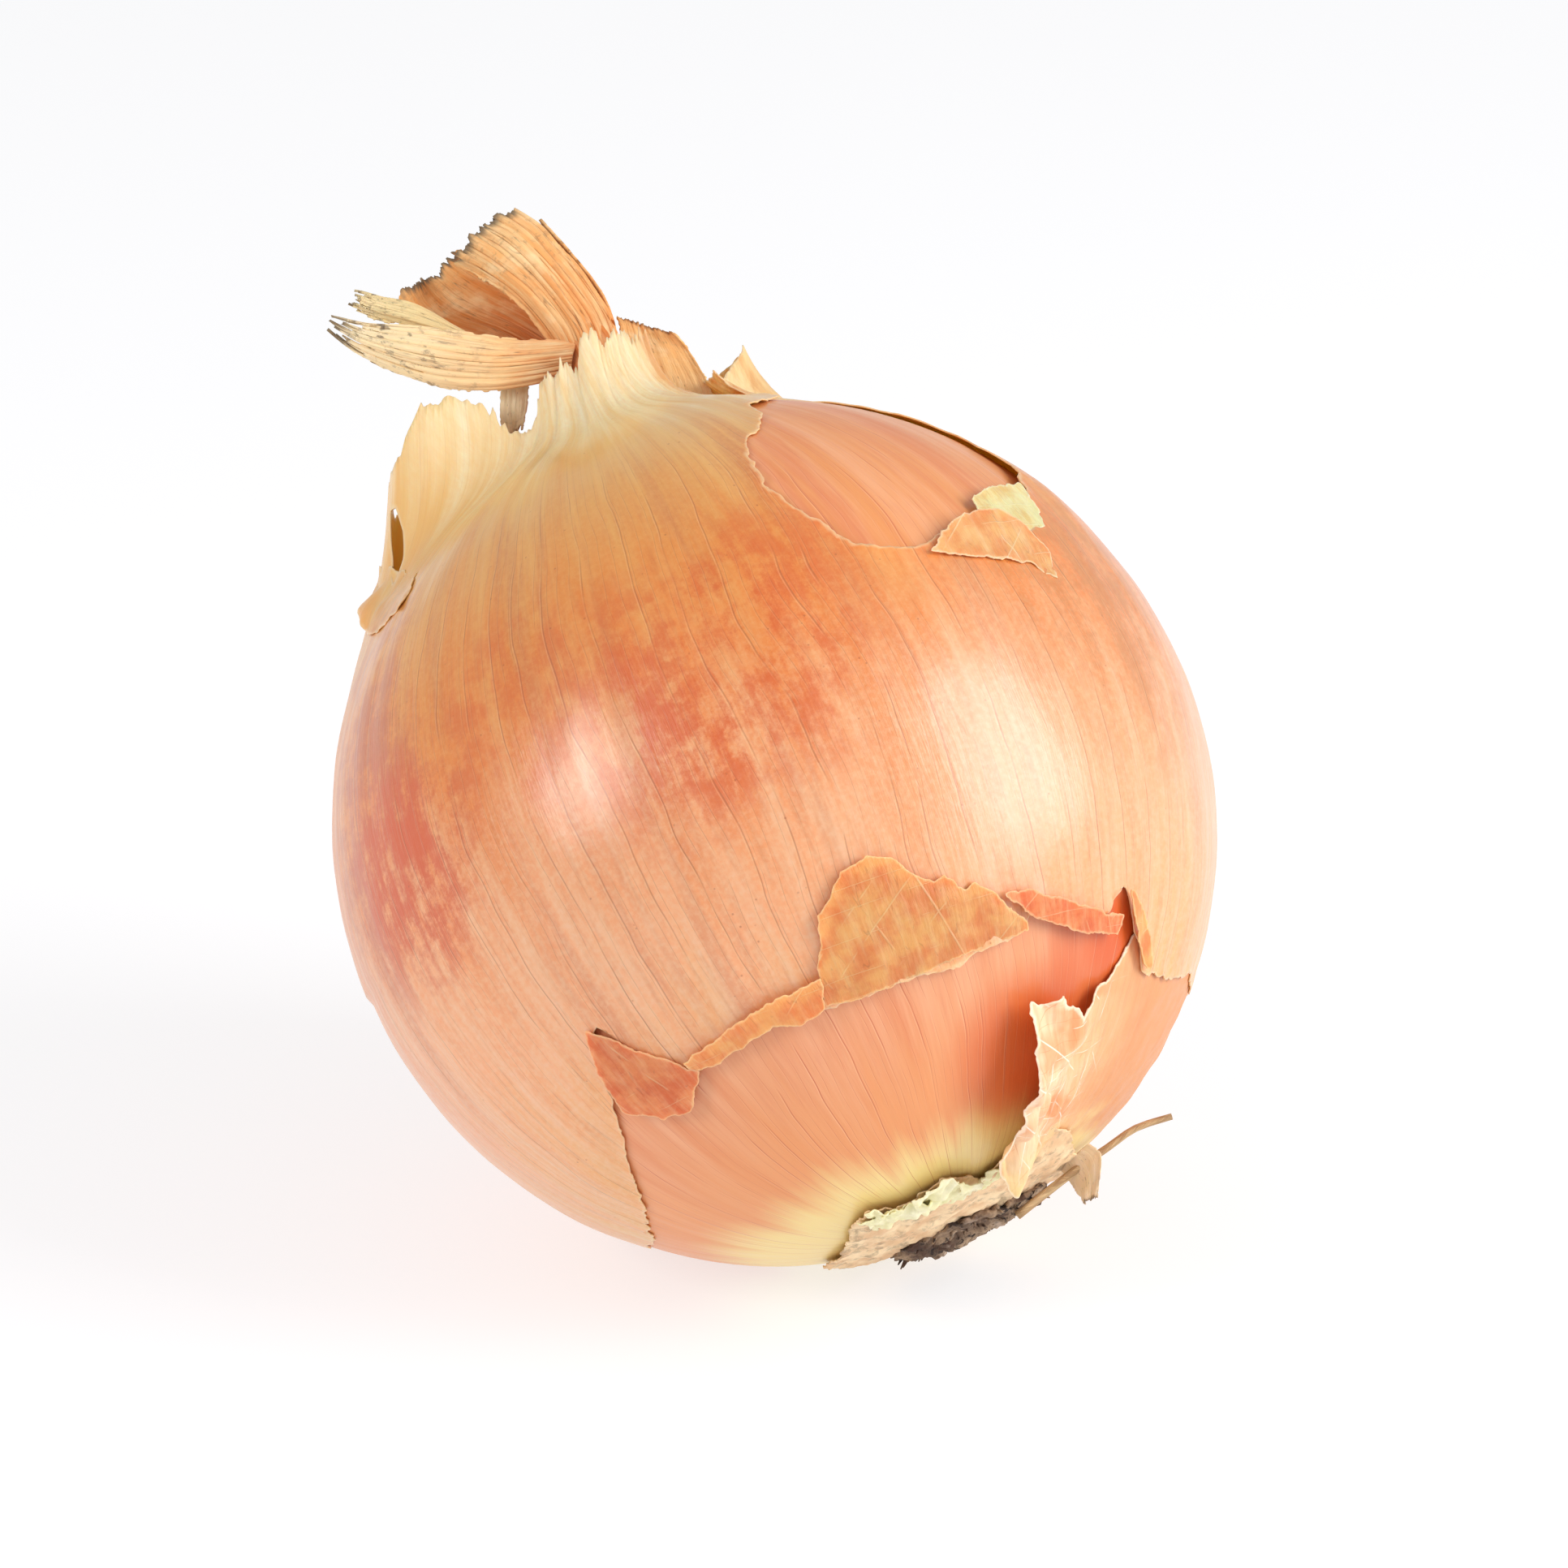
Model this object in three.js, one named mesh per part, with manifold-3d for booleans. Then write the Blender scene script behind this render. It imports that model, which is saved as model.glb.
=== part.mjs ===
// A yellow onion lying on its shoulder, in millimetres, +Z up.
// The origin is the middle of the small flat that it rests on, and the front is -Y.
// Each layer is modelled in the onion's own frame: x to the front, y to the right, z along the
// axis from the root to the neck, about the middle of the bulb. A place on a layer is a longitude
// (0 at the front, growing to the right) and a latitude (90 at the neck, -90 at the root), in degrees.

import * as THREE from "three";
import { mergeVertices } from "three/addons/utils/BufferGeometryUtils.js";
import Module from "manifold-3d";

const BULB_RADIUS = 39.4;
const BULB_EGG = 0.008; // how much longer the bulb is along the line below, as a share
const EGG_LINE = { lon: 90, lat: -62 };
const NECK_RADIUS = 4.2; // the fleshy neck inside the dry skins
const NECK_TOP = 43.6; // height at which the fleshy neck ends
const ROOT_FLATTENING = 0.022;
const ROOT_FLAT_SPREAD = 15;

const SKIN_GAP = 0.3;
const SKIN_THICK = 0.6;
const COLLAR_RADIUS = 4.9; // the outer skin's narrowest, where it closes round the neck
const COLLAR_FLARES = [
  { lon: -93, width: 24, more: 12.4 }, // the torn piece standing at the left
  { lon: 90, width: 13, more: 2.8 }, // a leaf end behind the right of the neck
  { lon: 119, width: 11, more: 8.4 }, // a curled tip behind that
  { lon: 176, width: 30, more: 2.5 },
];
const COLLAR_LEAN = 1.6; // how far the collar is off the axis, to the right, 10 mm above the shoulder
const SHOULDER = 38;

const AXIS_TILT = 40.3; // from upright
const AXIS_TOWARDS = 127.6; // the way the neck leans, from +X towards +Y
const FRONT_RISE = 22; // longitude 0 faces the front, this far above level
const REST_FLAT_DEPTH = 0.5;
const FLOOR_CLEARANCE = 0.4; // between the floor and everything but the bulb

const ROOT_PLATE_RADIUS = 7.9;
const ROOT_PLATE_OFF = 1.8; // off the axis, to the right
const ROOT_PLATE_TURN = 6.5; // degrees that it sits round to the back of the root end
const ROOT_PLATE_LEVEL = 40.3; // below the middle of the bulb
const ROOT_PLATE_HALF = 1.5; // half its thickness
const ROOT_STUBS = 26;
const LONG_ROOT_RADIUS = 0.45;
const RAG = 0.9; // how far a torn edge strays, in degrees

const wasm = await Module();
wasm.setup();

const radians = THREE.MathUtils.degToRad;

// A repeatable number from 0 to 1 for each whole number.
function chance(seed) {
  const x = Math.sin(seed * 127.1 + 311.7) * 43758.5453;
  return x - Math.floor(x);
}

function direction(lon, lat) {
  const [a, b] = [radians(lon), radians(lat)];
  return new THREE.Vector3(Math.cos(b) * Math.cos(a), Math.cos(b) * Math.sin(a), Math.sin(b));
}

const eggLine = direction(EGG_LINE.lon, EGG_LINE.lat);

// The distance from the middle to a globe that draws in to a neck of the given radius.
function layerRadius(way, offset, neckRadius) {
  const across = Math.max(Math.hypot(way.x, way.y), 1e-4);
  const neck = way.z > 0 ? (neckRadius + offset) / across : 0;
  const globe = Math.pow(Math.pow(BULB_RADIUS + offset, 4) + Math.pow(neck, 4), 0.25);
  const fromRoot = THREE.MathUtils.radToDeg(Math.acos(THREE.MathUtils.clamp(-way.z, -1, 1)));
  const flattening = ROOT_FLATTENING * Math.exp(-Math.pow(fromRoot / ROOT_FLAT_SPREAD, 2));
  const egg = BULB_EGG * (2 * Math.pow(way.dot(eggLine), 2) - 1);
  return globe * (1 - flattening + egg);
}

function onLayer(lon, lat, offset = 0, neckRadius = COLLAR_RADIUS) {
  const way = direction(lon, lat);
  const point = way.multiplyScalar(layerRadius(way, offset, neckRadius));
  point.y += COLLAR_LEAN * Math.pow(Math.max(0, point.z - SHOULDER) / 10, 2);
  return point;
}

function solid(geometry) {
  const bare = geometry.clone();
  for (const name of Object.keys(bare.attributes)) {
    if (name !== "position") bare.deleteAttribute(name);
  }
  const merged = mergeVertices(bare, 1e-4);
  return new wasm.Manifold(
    new wasm.Mesh({
      numProp: 3,
      vertProperties: merged.attributes.position.array,
      triVerts: new Uint32Array(merged.index.array),
    }),
  );
}

function geometryOf(body) {
  const { vertProperties, triVerts } = body.getMesh();
  const geometry = new THREE.BufferGeometry();
  geometry.setAttribute("position", new THREE.BufferAttribute(vertProperties, 3));
  geometry.setIndex(new THREE.BufferAttribute(triVerts, 1));
  geometry.computeVertexNormals();
  return geometry;
}

// The largest connected body, without the crumbs that a cut leaves.
function largest(body) {
  return body.decompose().sort((a, b) => b.volume() - a.volume())[0];
}

// A globe whose points are moved to where the rule says, its poles on the axis.
function globeSolid(columns, rows, place) {
  const geometry = new THREE.SphereGeometry(1, columns, rows).rotateX(Math.PI / 2);
  const position = geometry.getAttribute("position");
  const way = new THREE.Vector3();
  for (let i = 0; i < position.count; i++) {
    way.fromBufferAttribute(position, i).normalize();
    const point = place(way);
    position.setXYZ(i, point.x, point.y, point.z);
  }
  return solid(geometry);
}

// A closed sheet between two faces. front and back give the points for a share across and a share
// along. Both faces are split into triangles alike. A ring joins its first and last columns.
function sheetSolid(columns, rows, front, back, ring = false) {
  const points = [];
  const index = [];
  const width = columns + 1;
  for (const face of [front, back]) {
    for (let j = 0; j <= rows; j++) {
      for (let i = 0; i <= columns; i++) {
        const across = ring && i === columns ? 0 : i / columns;
        const point = face(across, j / rows);
        points.push(point.x, point.y, point.z);
      }
    }
  }
  const behind = width * (rows + 1);
  const quad = (a, b, c, d) => index.push(a, b, c, a, c, d);
  for (let j = 0; j < rows; j++) {
    for (let i = 0; i < columns; i++) {
      const a = j * width + i;
      index.push(a, a + 1, a + width + 1, a, a + width + 1, a + width);
      const b = behind + a;
      index.push(b, b + width + 1, b + 1, b, b + width, b + width + 1);
    }
  }
  for (let i = 0; i < columns; i++) {
    const top = rows * width + i;
    quad(i, behind + i, behind + i + 1, i + 1);
    quad(top, top + 1, behind + top + 1, behind + top);
  }
  for (let j = 0; j < rows && !ring; j++) {
    const left = j * width;
    const right = left + columns;
    quad(left, left + width, behind + left + width, behind + left);
    quad(right, behind + right, behind + right + width, right + width);
  }
  const geometry = new THREE.BufferGeometry();
  geometry.setAttribute("position", new THREE.Float32BufferAttribute(points, 3));
  geometry.setIndex(index);
  return solid(geometry);
}

// A leaf of the given thickness about a curved middle surface.
function bladeSolid(columns, rows, middle, thickness) {
  const step = 1e-3;
  const face = (side) => (across, along) => {
    const point = middle(across, along);
    const [left, right] = [Math.max(across - step, 0), Math.min(across + step, 1)];
    const [low, high] = [Math.max(along - step, 0), Math.min(along + step, 1)];
    const overAcross = middle(right, along).sub(middle(left, along));
    const overAlong = middle(across, high).sub(middle(across, low));
    const normal = overAcross.cross(overAlong).normalize();
    return point.addScaledVector(normal, (side * thickness) / 2);
  };
  return sheetSolid(columns, rows, face(1), face(-1));
}

// An outline with the small steps of torn skin between its corners. An outline round a pole
// closes over the line where longitude turns from 180 to -180.
function torn(outline, seed, rag = RAG, stride = 3) {
  const result = [];
  outline.forEach(([lon, lat], i) => {
    const [nextLon, nextLat] = outline[(i + 1) % outline.length];
    const turn = nextLon - lon < -180 ? 360 : 0;
    const gain = nextLon + turn - lon;
    const length = Math.hypot(gain * Math.cos(radians(lat)), nextLat - lat);
    const steps = Math.max(1, Math.round(length / stride));
    for (let k = 0; k < steps; k++) {
      const share = k / steps;
      const stray = k === 0 ? 0 : (chance(seed + i * 17 + k) - 0.5) * 2 * rag;
      result.push([lon + gain * share, lat + (nextLat - lat) * share + stray]);
    }
  });
  return result;
}

// The cone from the middle of the bulb out through an outline round the given direction.
function coneThrough(outline, [lon, lat]) {
  const forward = direction(lon, lat);
  const side = new THREE.Vector3(-forward.y, forward.x, 0);
  if (side.length() < 1e-6) side.set(1, 0, 0);
  side.normalize();
  const upward = forward.clone().cross(side);
  const flat = outline.map(([pointLon, pointLat]) => {
    const way = direction(pointLon, pointLat);
    const depth = way.dot(forward);
    return new THREE.Vector2(way.dot(side) / depth, way.dot(upward) / depth);
  });
  const shape = new THREE.Shape(flat);
  const geometry = new THREE.ExtrudeGeometry(shape, { depth: 1, steps: 1, bevelEnabled: false });
  const position = geometry.getAttribute("position");
  const [near, far] = [6, 90];
  for (let i = 0; i < position.count; i++) {
    const reach = near + (far - near) * position.getZ(i);
    const point = forward
      .clone()
      .multiplyScalar(reach)
      .addScaledVector(side, position.getX(i) * reach)
      .addScaledVector(upward, position.getY(i) * reach);
    position.setXYZ(i, point.x, point.y, point.z);
  }
  return solid(geometry);
}

// The onion's frame in the part's frame, leaning on its shoulder.
const axis = direction(AXIS_TOWARDS, 90 - AXIS_TILT);
const viewer = direction(-90, FRONT_RISE);
const front = viewer.addScaledVector(axis, -viewer.dot(axis)).normalize();
const onion = new THREE.Group();
onion.matrixAutoUpdate = false;
onion.matrix.makeBasis(front, axis.clone().cross(front), axis);
const floorWay = new THREE.Vector3(0, 0, -1).applyMatrix4(onion.matrix.clone().transpose());
const centreHeight = layerRadius(floorWay, 0, NECK_RADIUS) - REST_FLAT_DEPTH;
onion.matrix.setPosition(0, 0, centreHeight);

// Everything below a height above the floor, in the onion's frame.
function below(height) {
  const slab = new THREE.BoxGeometry(200, 200, 60).translate(0, 0, height - 30);
  return solid(slab.applyMatrix4(onion.matrix.clone().invert()));
}

const nearFloor = below(FLOOR_CLEARANCE);

// The bulb in its tight inner skin, with the flat that it rests on.
function bulb() {
  const place = (way) => {
    const reach = layerRadius(way, 0, NECK_RADIUS);
    const capped = way.z > 0 ? Math.min(reach, NECK_TOP / way.z) : reach;
    return way.clone().multiplyScalar(capped);
  };
  return globeSolid(48, 28, place).subtract(below(0));
}

// How wide the outer skin stands round the neck at a longitude.
function collarRadius(lon) {
  return COLLAR_FLARES.reduce((radius, { lon: at, width, more }) => {
    const away = ((lon - at + 540) % 360) - 180;
    return radius + more * Math.exp(-Math.pow(away / width, 2));
  }, COLLAR_RADIUS);
}

// A tube round the axis with the torn rim as its lower end, which holds all that is cut away.
function aboveRim() {
  const stray = 0.45;
  const height = (lon) => {
    const i = UPPER_RIM.findIndex((_, k) => (UPPER_RIM[k + 1] ?? [180])[0] > lon);
    const [[from, low], [to, high]] = [UPPER_RIM[i], UPPER_RIM[i + 1] ?? [180, UPPER_RIM[0][1]]];
    return THREE.MathUtils.lerp(low, high, (lon - from) / (to - from)) + stray * (chance(lon) - 0.5) * 2;
  };
  const wall = (radius) => (across, along) => {
    const lon = across * 360 - 180;
    const point = direction(lon, 0).multiplyScalar(radius);
    return point.setZ(THREE.MathUtils.lerp(height(lon), 95, along));
  };
  return sheetSolid(108, 1, wall(36), wall(2), true);
}

// A patch of skin inside an outline, between two heights above the bulb, which may be functions
// of longitude and latitude.
function patch(outline, centre, inner, outer, cell = 5) {
  const lons = outline.map((p) => p[0]);
  const lats = outline.map((p) => p[1]);
  const margin = 1.5;
  const [west, east] = [Math.min(...lons) - margin, Math.max(...lons) + margin];
  const [south, north] = [Math.min(...lats) - margin, Math.max(...lats) + margin];
  const level = (height, lon, lat) => (typeof height === "function" ? height(lon, lat) : height);
  const face = (height) => (across, along) => {
    const lon = west + (east - west) * across;
    const lat = south + (north - south) * along;
    return onLayer(lon, lat, level(height, lon, lat));
  };
  const middleLat = radians((south + north) / 2);
  const columns = Math.ceil(((east - west) * Math.cos(middleLat)) / cell);
  const rows = Math.ceil((north - south) / cell);
  return sheetSolid(columns, rows, face(outer), face(inner)).intersect(coneThrough(outline, centre));
}

// The torn lower edge of the outer skin all the way round, as longitude and latitude.
const LOWER_TEAR = [
  [-180, -40], [-160, -32], [-145, -29], [-126, -33], [-110, -43], [-95, -49], [-80, -50.5],
  [-70, -49], [-60, -46], [-52, -41], [-45, -35], [-38, -27], [-35, -22.5], [-31, -28],
  [-26, -33.5], [-20, -32], [-12, -31.5], [-6, -33.5], [5, -34], [18, -34.5], [29, -34],
  [32, -30], [38, -33], [44, -35.5], [48, -33], [50, -32], [53, -38], [57, -43.5], [66, -45],
  [80, -43.5], [95, -45], [112, -41], [130, -47], [152, -42],
];

// The rim of the outer skin at the neck, as longitude and height along the axis: a collar in front,
// a torn piece standing at the left and two behind.
const UPPER_RIM = [
  [-180, 44.5], [-160, 45.5], [-140, 43.5], [-125, 41], [-114, 38.5], [-108, 38], [-100, 41.5],
  [-95, 44.4], [-89, 45.6], [-84, 44.6], [-80, 47.4], [-74, 48.8], [-68, 48], [-63, 44.8],
  [-57, 43], [-48, 44], [-38, 45.4], [-28, 45.9], [-18, 47.6], [-8, 46.8], [2, 48], [12, 47.2],
  [25, 47.4], [40, 46], [56, 45.4], [70, 46.8], [80, 47.4], [90, 46], [100, 42.6], [107, 41],
  [113, 43.8], [118, 45.2], [123, 44], [130, 40], [142, 41], [155, 43], [168, 45],
];

// The window in the outer skin at the upper right.
const UPPER_WINDOW = [
  [38, 57.5], [36, 54], [33, 51], [27, 47.5], [23.5, 45], [22, 41], [21, 36], [22, 30],
  [24, 26], [26, 21], [31, 19], [36, 18], [40, 19.5], [45, 21], [50, 20.5], [54, 16.5],
  [58, 18.5], [64, 25], [70, 30], [74, 40], [77, 54], [74, 66], [66, 72.5], [57, 72], [46, 64],
  [42, 59],
];

// Places where the outer skin is turned back on itself or hangs loose at a tear: the outline, its
// centre, the inner and outer heights above the bulb, and how fast both rise from a latitude.
const FOLDS = [
  {
    outline: [
      [-9, -33.6], [-3, -30.5], [-1, -27], [1, -23], [5, -19], [9, -18], [12, -18.6], [15, -22],
      [20, -25], [25, -27], [28, -30], [31, -33.6], [26, -34.6], [8, -34.6],
    ],
    centre: [10, -27], inner: 0.75, outer: 1.5, rise: 0.07, from: -34,
  },
  {
    outline: [
      [-25, -34], [-21, -32], [-12, -30], [-4, -30], [-2, -33], [-8, -35.4], [-14, -36], [-21, -35.6],
    ],
    centre: [-13, -33], inner: SKIN_GAP, outer: 1.4,
  },
  {
    outline: [[-36, -21.5], [-25, -33.4], [-31, -37.8], [-36, -36.4], [-40.5, -33.4], [-39, -27]],
    centre: [-33, -31], inner: SKIN_GAP, outer: 1.5,
  },
  {
    outline: [
      [27, -28], [30, -28], [37, -31], [45, -34], [48.5, -34.6], [47, -37], [39, -35.4], [30, -31.6],
    ],
    centre: [38, -33], inner: 0.6, outer: 1.9,
  },
  {
    outline: [[49, -31], [51, -32], [56, -38.5], [57.6, -42.4], [55.4, -42], [52.4, -38.6]],
    centre: [55, -39], inner: SKIN_GAP, outer: 2.1,
  },
  {
    outline: [
      [36, 17.6], [40, 20.4], [45, 22.6], [51, 22.2], [54.5, 19], [57, 13.6], [53, 11.4], [47, 14],
      [41, 15.6],
    ],
    centre: [46, 17], inner: SKIN_GAP, outer: 1.4, rise: 0.16, from: 15,
  },
  {
    outline: [
      [48, 20], [50, 23.6], [58, 26.6], [68, 28], [71, 25], [66, 22.5], [62, 18], [55, 16],
    ],
    centre: [60, 22], inner: SKIN_GAP, outer: 1.3, rise: 0.08, from: 15,
  },
];

function fold({ outline, centre, inner, outer, rise = 0, from = 0 }, seed) {
  const lift = (lat) => rise * Math.max(0, lat - from);
  const low = (lon, lat) => inner + (inner > SKIN_GAP ? lift(lat) : 0);
  const high = (lon, lat) => outer + lift(lat);
  return patch(torn(outline, seed, 0.4), centre, low, high, 6);
}

function outerSkin() {
  const [columns, rows, lowest, highest] = [60, 18, -53, 84];
  const face = (offset) => (across, along) => {
    const lon = across * 360 - 180;
    const lat = highest - (highest - lowest) * Math.pow(1 - along, 1.15);
    return onLayer(lon, lat, offset, collarRadius(lon));
  };
  const band = sheetSolid(columns, rows, face(SKIN_GAP + SKIN_THICK), face(SKIN_GAP), true);
  const ring = band
    .subtract(coneThrough(torn(LOWER_TEAR, 5), [0, -90]))
    .subtract(aboveRim())
    .subtract(coneThrough(torn(UPPER_WINDOW, 90, 0.5), [48, 50]));
  return FOLDS.reduce((skin, one, i) => skin.add(fold(one, i * 9)), ring);
}

// The second skin, at the lower right, with its crumpled torn end standing off the bulb.
const LOWER_SKIN = [
  [30, -43.5], [35, -44.5], [40, -47], [44, -46], [48, -44], [53, -42], [60, -42], [80, -42],
  [112, -40], [140, -44], [146, -56], [140, -65], [120, -70], [90, -71.5], [60, -71.5], [35, -71],
  [24, -69.5], [22, -66], [27, -61], [29, -53],
];
const CRUMPLED_END = [
  [29, -43], [34, -44.6], [38, -48.6], [44, -47.6], [43, -53], [52, -60], [46, -66], [32, -69],
  [22, -66], [27, -60], [28.4, -52],
];
const SKIN_SPACING = 0.8; // degrees between the edges of the two skins

function lowerSkin() {
  const open = LOWER_TEAR.map(([lon, lat]) => [lon, lat - SKIN_SPACING - RAG]);
  const free = (lon) => THREE.MathUtils.clamp((50 - lon) / 22, 0, 1);
  const crumple = (lon, lat) => 0.6 * Math.sin(lon * 0.55 + lat * 0.2) * Math.cos(lat * 0.42 - lon * 0.1);
  const lift = (lon, lat) => Math.max(0, free(lon) * (2.1 + crumple(lon, lat)));
  const under = (lon, lat) => SKIN_GAP + 0.1 + lift(lon, lat);
  const over = (lon, lat) => 1.1 + lift(lon, lat);
  const sheet = patch(torn(LOWER_SKIN, 60, 0.5), [84, -60], SKIN_GAP, SKIN_GAP + SKIN_THICK);
  const end = patch(torn(CRUMPLED_END, 70, 0.6), [36, -57], under, over, 3);
  return sheet.intersect(coneThrough(torn(open, 5), [0, -90])).add(end);
}

// A leaf between its left and right edges, bowed to the front, rippled more and more towards an
// end that is longest in the middle.
function ribbon({ left, right, columns, rows, bow, ripple, tip, thickness = 0.8 }) {
  const curve = (points) => new THREE.CatmullRomCurve3(points.map((p) => new THREE.Vector3(...p)));
  const edges = [curve(left), curve(right)];
  const middle = (across, along) => {
    const point = edges[0].getPoint(along).lerp(edges[1].getPoint(along), across);
    const arch = Math.sin(Math.PI * across);
    point.x += bow * arch + ripple * Math.sin(across * columns * Math.PI) * along;
    point.z += tip * arch * Math.pow(along, 3);
    return point;
  };
  return bladeSolid(columns, rows, middle, thickness);
}

// A small dry flake that hangs from the long root.
const FLAKE = {
  left: [[-0.9, 12.4, -38.9], [-0.6, 13.6, -40.6], [0.3, 12.4, -42.6]],
  right: [[1.9, 15.6, -38.7], [2, 15.8, -39.8], [1.3, 13.2, -42.6]],
  columns: 2, rows: 4, bow: 0.5, ripple: 0, tip: 0, thickness: 0.6,
};
const LONG_ROOT = [
  [0, 6, -41], [0.3, 10, -40], [0.6, 13, -39.3], [0.5, 16, -38.6], [0.3, 19, -38], [0, 22.4, -38.3],
];

// The dry leaf bases above the neck, all grown from one pinched stalk. Each is given by its two
// edges, as points to the front, to the right and along the axis.
const LEAVES = [
  {
    // the broad fan with a cut end
    left: [[1.4, -1.2, 47], [1.6, -0.8, 50], [1.8, -2.3, 55.2], [1.2, -4.4, 58.8], [0.4, -6.2, 61.4]],
    right: [[0.8, 4.2, 46.8], [0.8, 5, 50.5], [0.6, 4.9, 54], [0.2, 3.8, 58.3], [-0.2, 2.4, 63.4]],
    columns: 9, rows: 7, bow: 1.5, ripple: 0.35, tip: 1.9,
  },
  {
    // a cupped leaf behind it
    left: [[0.4, -1.5, 48.5], [0, -6.6, 52.8], [-0.6, -11.2, 57], [-0.4, -12.3, 60.4]],
    right: [[-0.4, 2, 49.5], [-0.6, -1.8, 54.8], [-0.8, -4.4, 59], [-0.6, -6, 61.2]],
    columns: 6, rows: 6, bow: -2.6, ripple: 0.25, tip: 0.8,
  },
  {
    // a frayed strap lying to the left
    left: [
      [2.2, -0.5, 46.8], [3, -4.9, 47.3], [3.2, -8.5, 48.5], [3, -12.5, 50.9], [2.2, -17.4, 56.2],
      [1.4, -19.7, 60.6],
    ],
    right: [
      [2, 1.5, 50], [2.4, -3.6, 51.8], [2.8, -6.3, 53.4], [2.8, -11.5, 56.8], [2.2, -15.6, 59.2],
      [1.6, -18.6, 61.6],
    ],
    columns: 6, rows: 9, bow: 1.3, ripple: 0.3, tip: 0,
  },
  {
    // its upper split
    left: [[2, -7.5, 53.2], [1.8, -12, 56.6], [1.4, -16.8, 60]],
    right: [[1, -8.2, 55.4], [0.8, -11.4, 58.4], [0.4, -15.6, 62.6]],
    columns: 4, rows: 4, bow: 0.8, ripple: 0.25, tip: 0,
  },
];

function neck() {
  const outline = [[0, 44.1], [3.3, 44.1], [3.4, 46], [3.1, 49], [2.6, 52], [0, 53]];
  const stalk = new THREE.LatheGeometry(outline.map((p) => new THREE.Vector2(...p)), 12);
  const lean = new THREE.Matrix4().makeShear(0, 0, 0, 0, 0, 0.22);
  stalk.rotateX(Math.PI / 2).translate(0, 0, -44).applyMatrix4(lean).translate(0, 0.7, 44);
  return LEAVES.reduce((body, leaf) => body.add(ribbon(leaf)), solid(stalk));
}

// The ragged band of pale skin left round the root plate.
const BASAL_RIM = [
  [-180, -73], [-140, -74], [-100, -73.4], [-70, -73], [-50, -72], [-34, -71.2], [-24, -69],
  [-12, -70.4], [0, -68.2], [10, -69.2], [16, -72.4], [26, -73.8], [60, -74.4], [100, -74.4],
  [140, -73.8], [160, -72.6],
];
const BASAL_HOLE_RADIUS = 6.4;

function basalRim() {
  const face = (offset) => (across, along) => onLayer(across * 360 - 180, -87.5 + 20 * along, offset);
  const band = sheetSolid(48, 4, face(SKIN_GAP + SKIN_THICK), face(SKIN_GAP), true);
  const hole = new THREE.CylinderGeometry(BASAL_HOLE_RADIUS, BASAL_HOLE_RADIUS, 30, 30);
  hole.rotateX(Math.PI / 2).translate(0, ROOT_PLATE_OFF, -40);
  return band
    .intersect(coneThrough(torn(BASAL_RIM, 80, 0.35, 2), [0, -90]))
    .subtract(solid(hole).rotate([0, ROOT_PLATE_TURN, 0]));
}

function rootStub(i) {
  const out = 0.9 * ROOT_PLATE_RADIUS * Math.sqrt((i + 0.5) / ROOT_STUBS);
  const turn = radians(i * 137.5 + 20 * chance(i + 90));
  const length = 1.5 + 0.6 * chance(i);
  const thick = 0.4 + 0.25 * chance(i + 50);
  const stub = new THREE.CylinderGeometry(thick, thick * 0.5, length, 4).translate(0, -length / 2, 0);
  stub.rotateX(Math.PI / 2).rotateY(-0.2 - (0.7 * out) / ROOT_PLATE_RADIUS).rotateZ(turn);
  const depth = ROOT_PLATE_HALF * Math.sqrt(1 - Math.pow(out / ROOT_PLATE_RADIUS, 2)) - 0.9;
  const [x, y] = [out * Math.cos(turn), ROOT_PLATE_OFF + out * Math.sin(turn)];
  return stub.translate(x, y, -ROOT_PLATE_LEVEL - depth);
}

// The corky root plate, with the stubs of its trimmed roots, one long dry root and the flake.
function rootPlate() {
  const plate = globeSolid(26, 10, (way) => {
    const ridges = Math.sin(way.x * 9 + way.y * 4) * Math.cos(way.y * 8 - way.z * 5);
    const lump = 1 + 0.09 * ridges + 0.05 * Math.sin(way.x * 21) * Math.sin(way.y * 17);
    const [across, deep] = [ROOT_PLATE_RADIUS * lump, ROOT_PLATE_HALF * lump];
    const y = ROOT_PLATE_OFF + way.y * across;
    return new THREE.Vector3(way.x * across, y, way.z * deep - ROOT_PLATE_LEVEL);
  });
  const section = new THREE.Shape().absarc(0, 0, LONG_ROOT_RADIUS, 0, 2 * Math.PI, false);
  const longRoot = new THREE.ExtrudeGeometry(section, {
    steps: 9,
    curveSegments: 5,
    bevelEnabled: false,
    extrudePath: new THREE.CatmullRomCurve3(LONG_ROOT.map((p) => new THREE.Vector3(...p))),
  });
  let body = plate;
  for (let i = 0; i < ROOT_STUBS; i++) body = body.add(solid(rootStub(i)));
  body = body.rotate([0, ROOT_PLATE_TURN, 0]).add(solid(longRoot)).add(ribbon(FLAKE));
  const height = SKIN_GAP + SKIN_THICK + SKIN_GAP;
  const clear = (way) => way.clone().multiplyScalar(layerRadius(way, height, NECK_RADIUS));
  return body.subtract(globeSolid(48, 28, clear));
}

function finish(name, body, color, roughness) {
  const material = new THREE.MeshStandardMaterial({ color, roughness, metalness: 0 });
  const mesh = new THREE.Mesh(geometryOf(largest(body)), material);
  mesh.name = name;
  onion.add(mesh);
}

finish("bulb", bulb(), 0xdf9468, 0.4);
finish("outer_skin", outerSkin().subtract(nearFloor), 0xd9894a, 0.45);
finish("lower_skin", lowerSkin().subtract(nearFloor), 0xe2a57a, 0.5);
finish("neck", neck(), 0xc98a4e, 0.8);
finish("basal_rim", basalRim().subtract(nearFloor), 0xdccf9c, 0.8);
finish("root_plate", rootPlate().subtract(nearFloor), 0x6d5340, 0.95);

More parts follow.
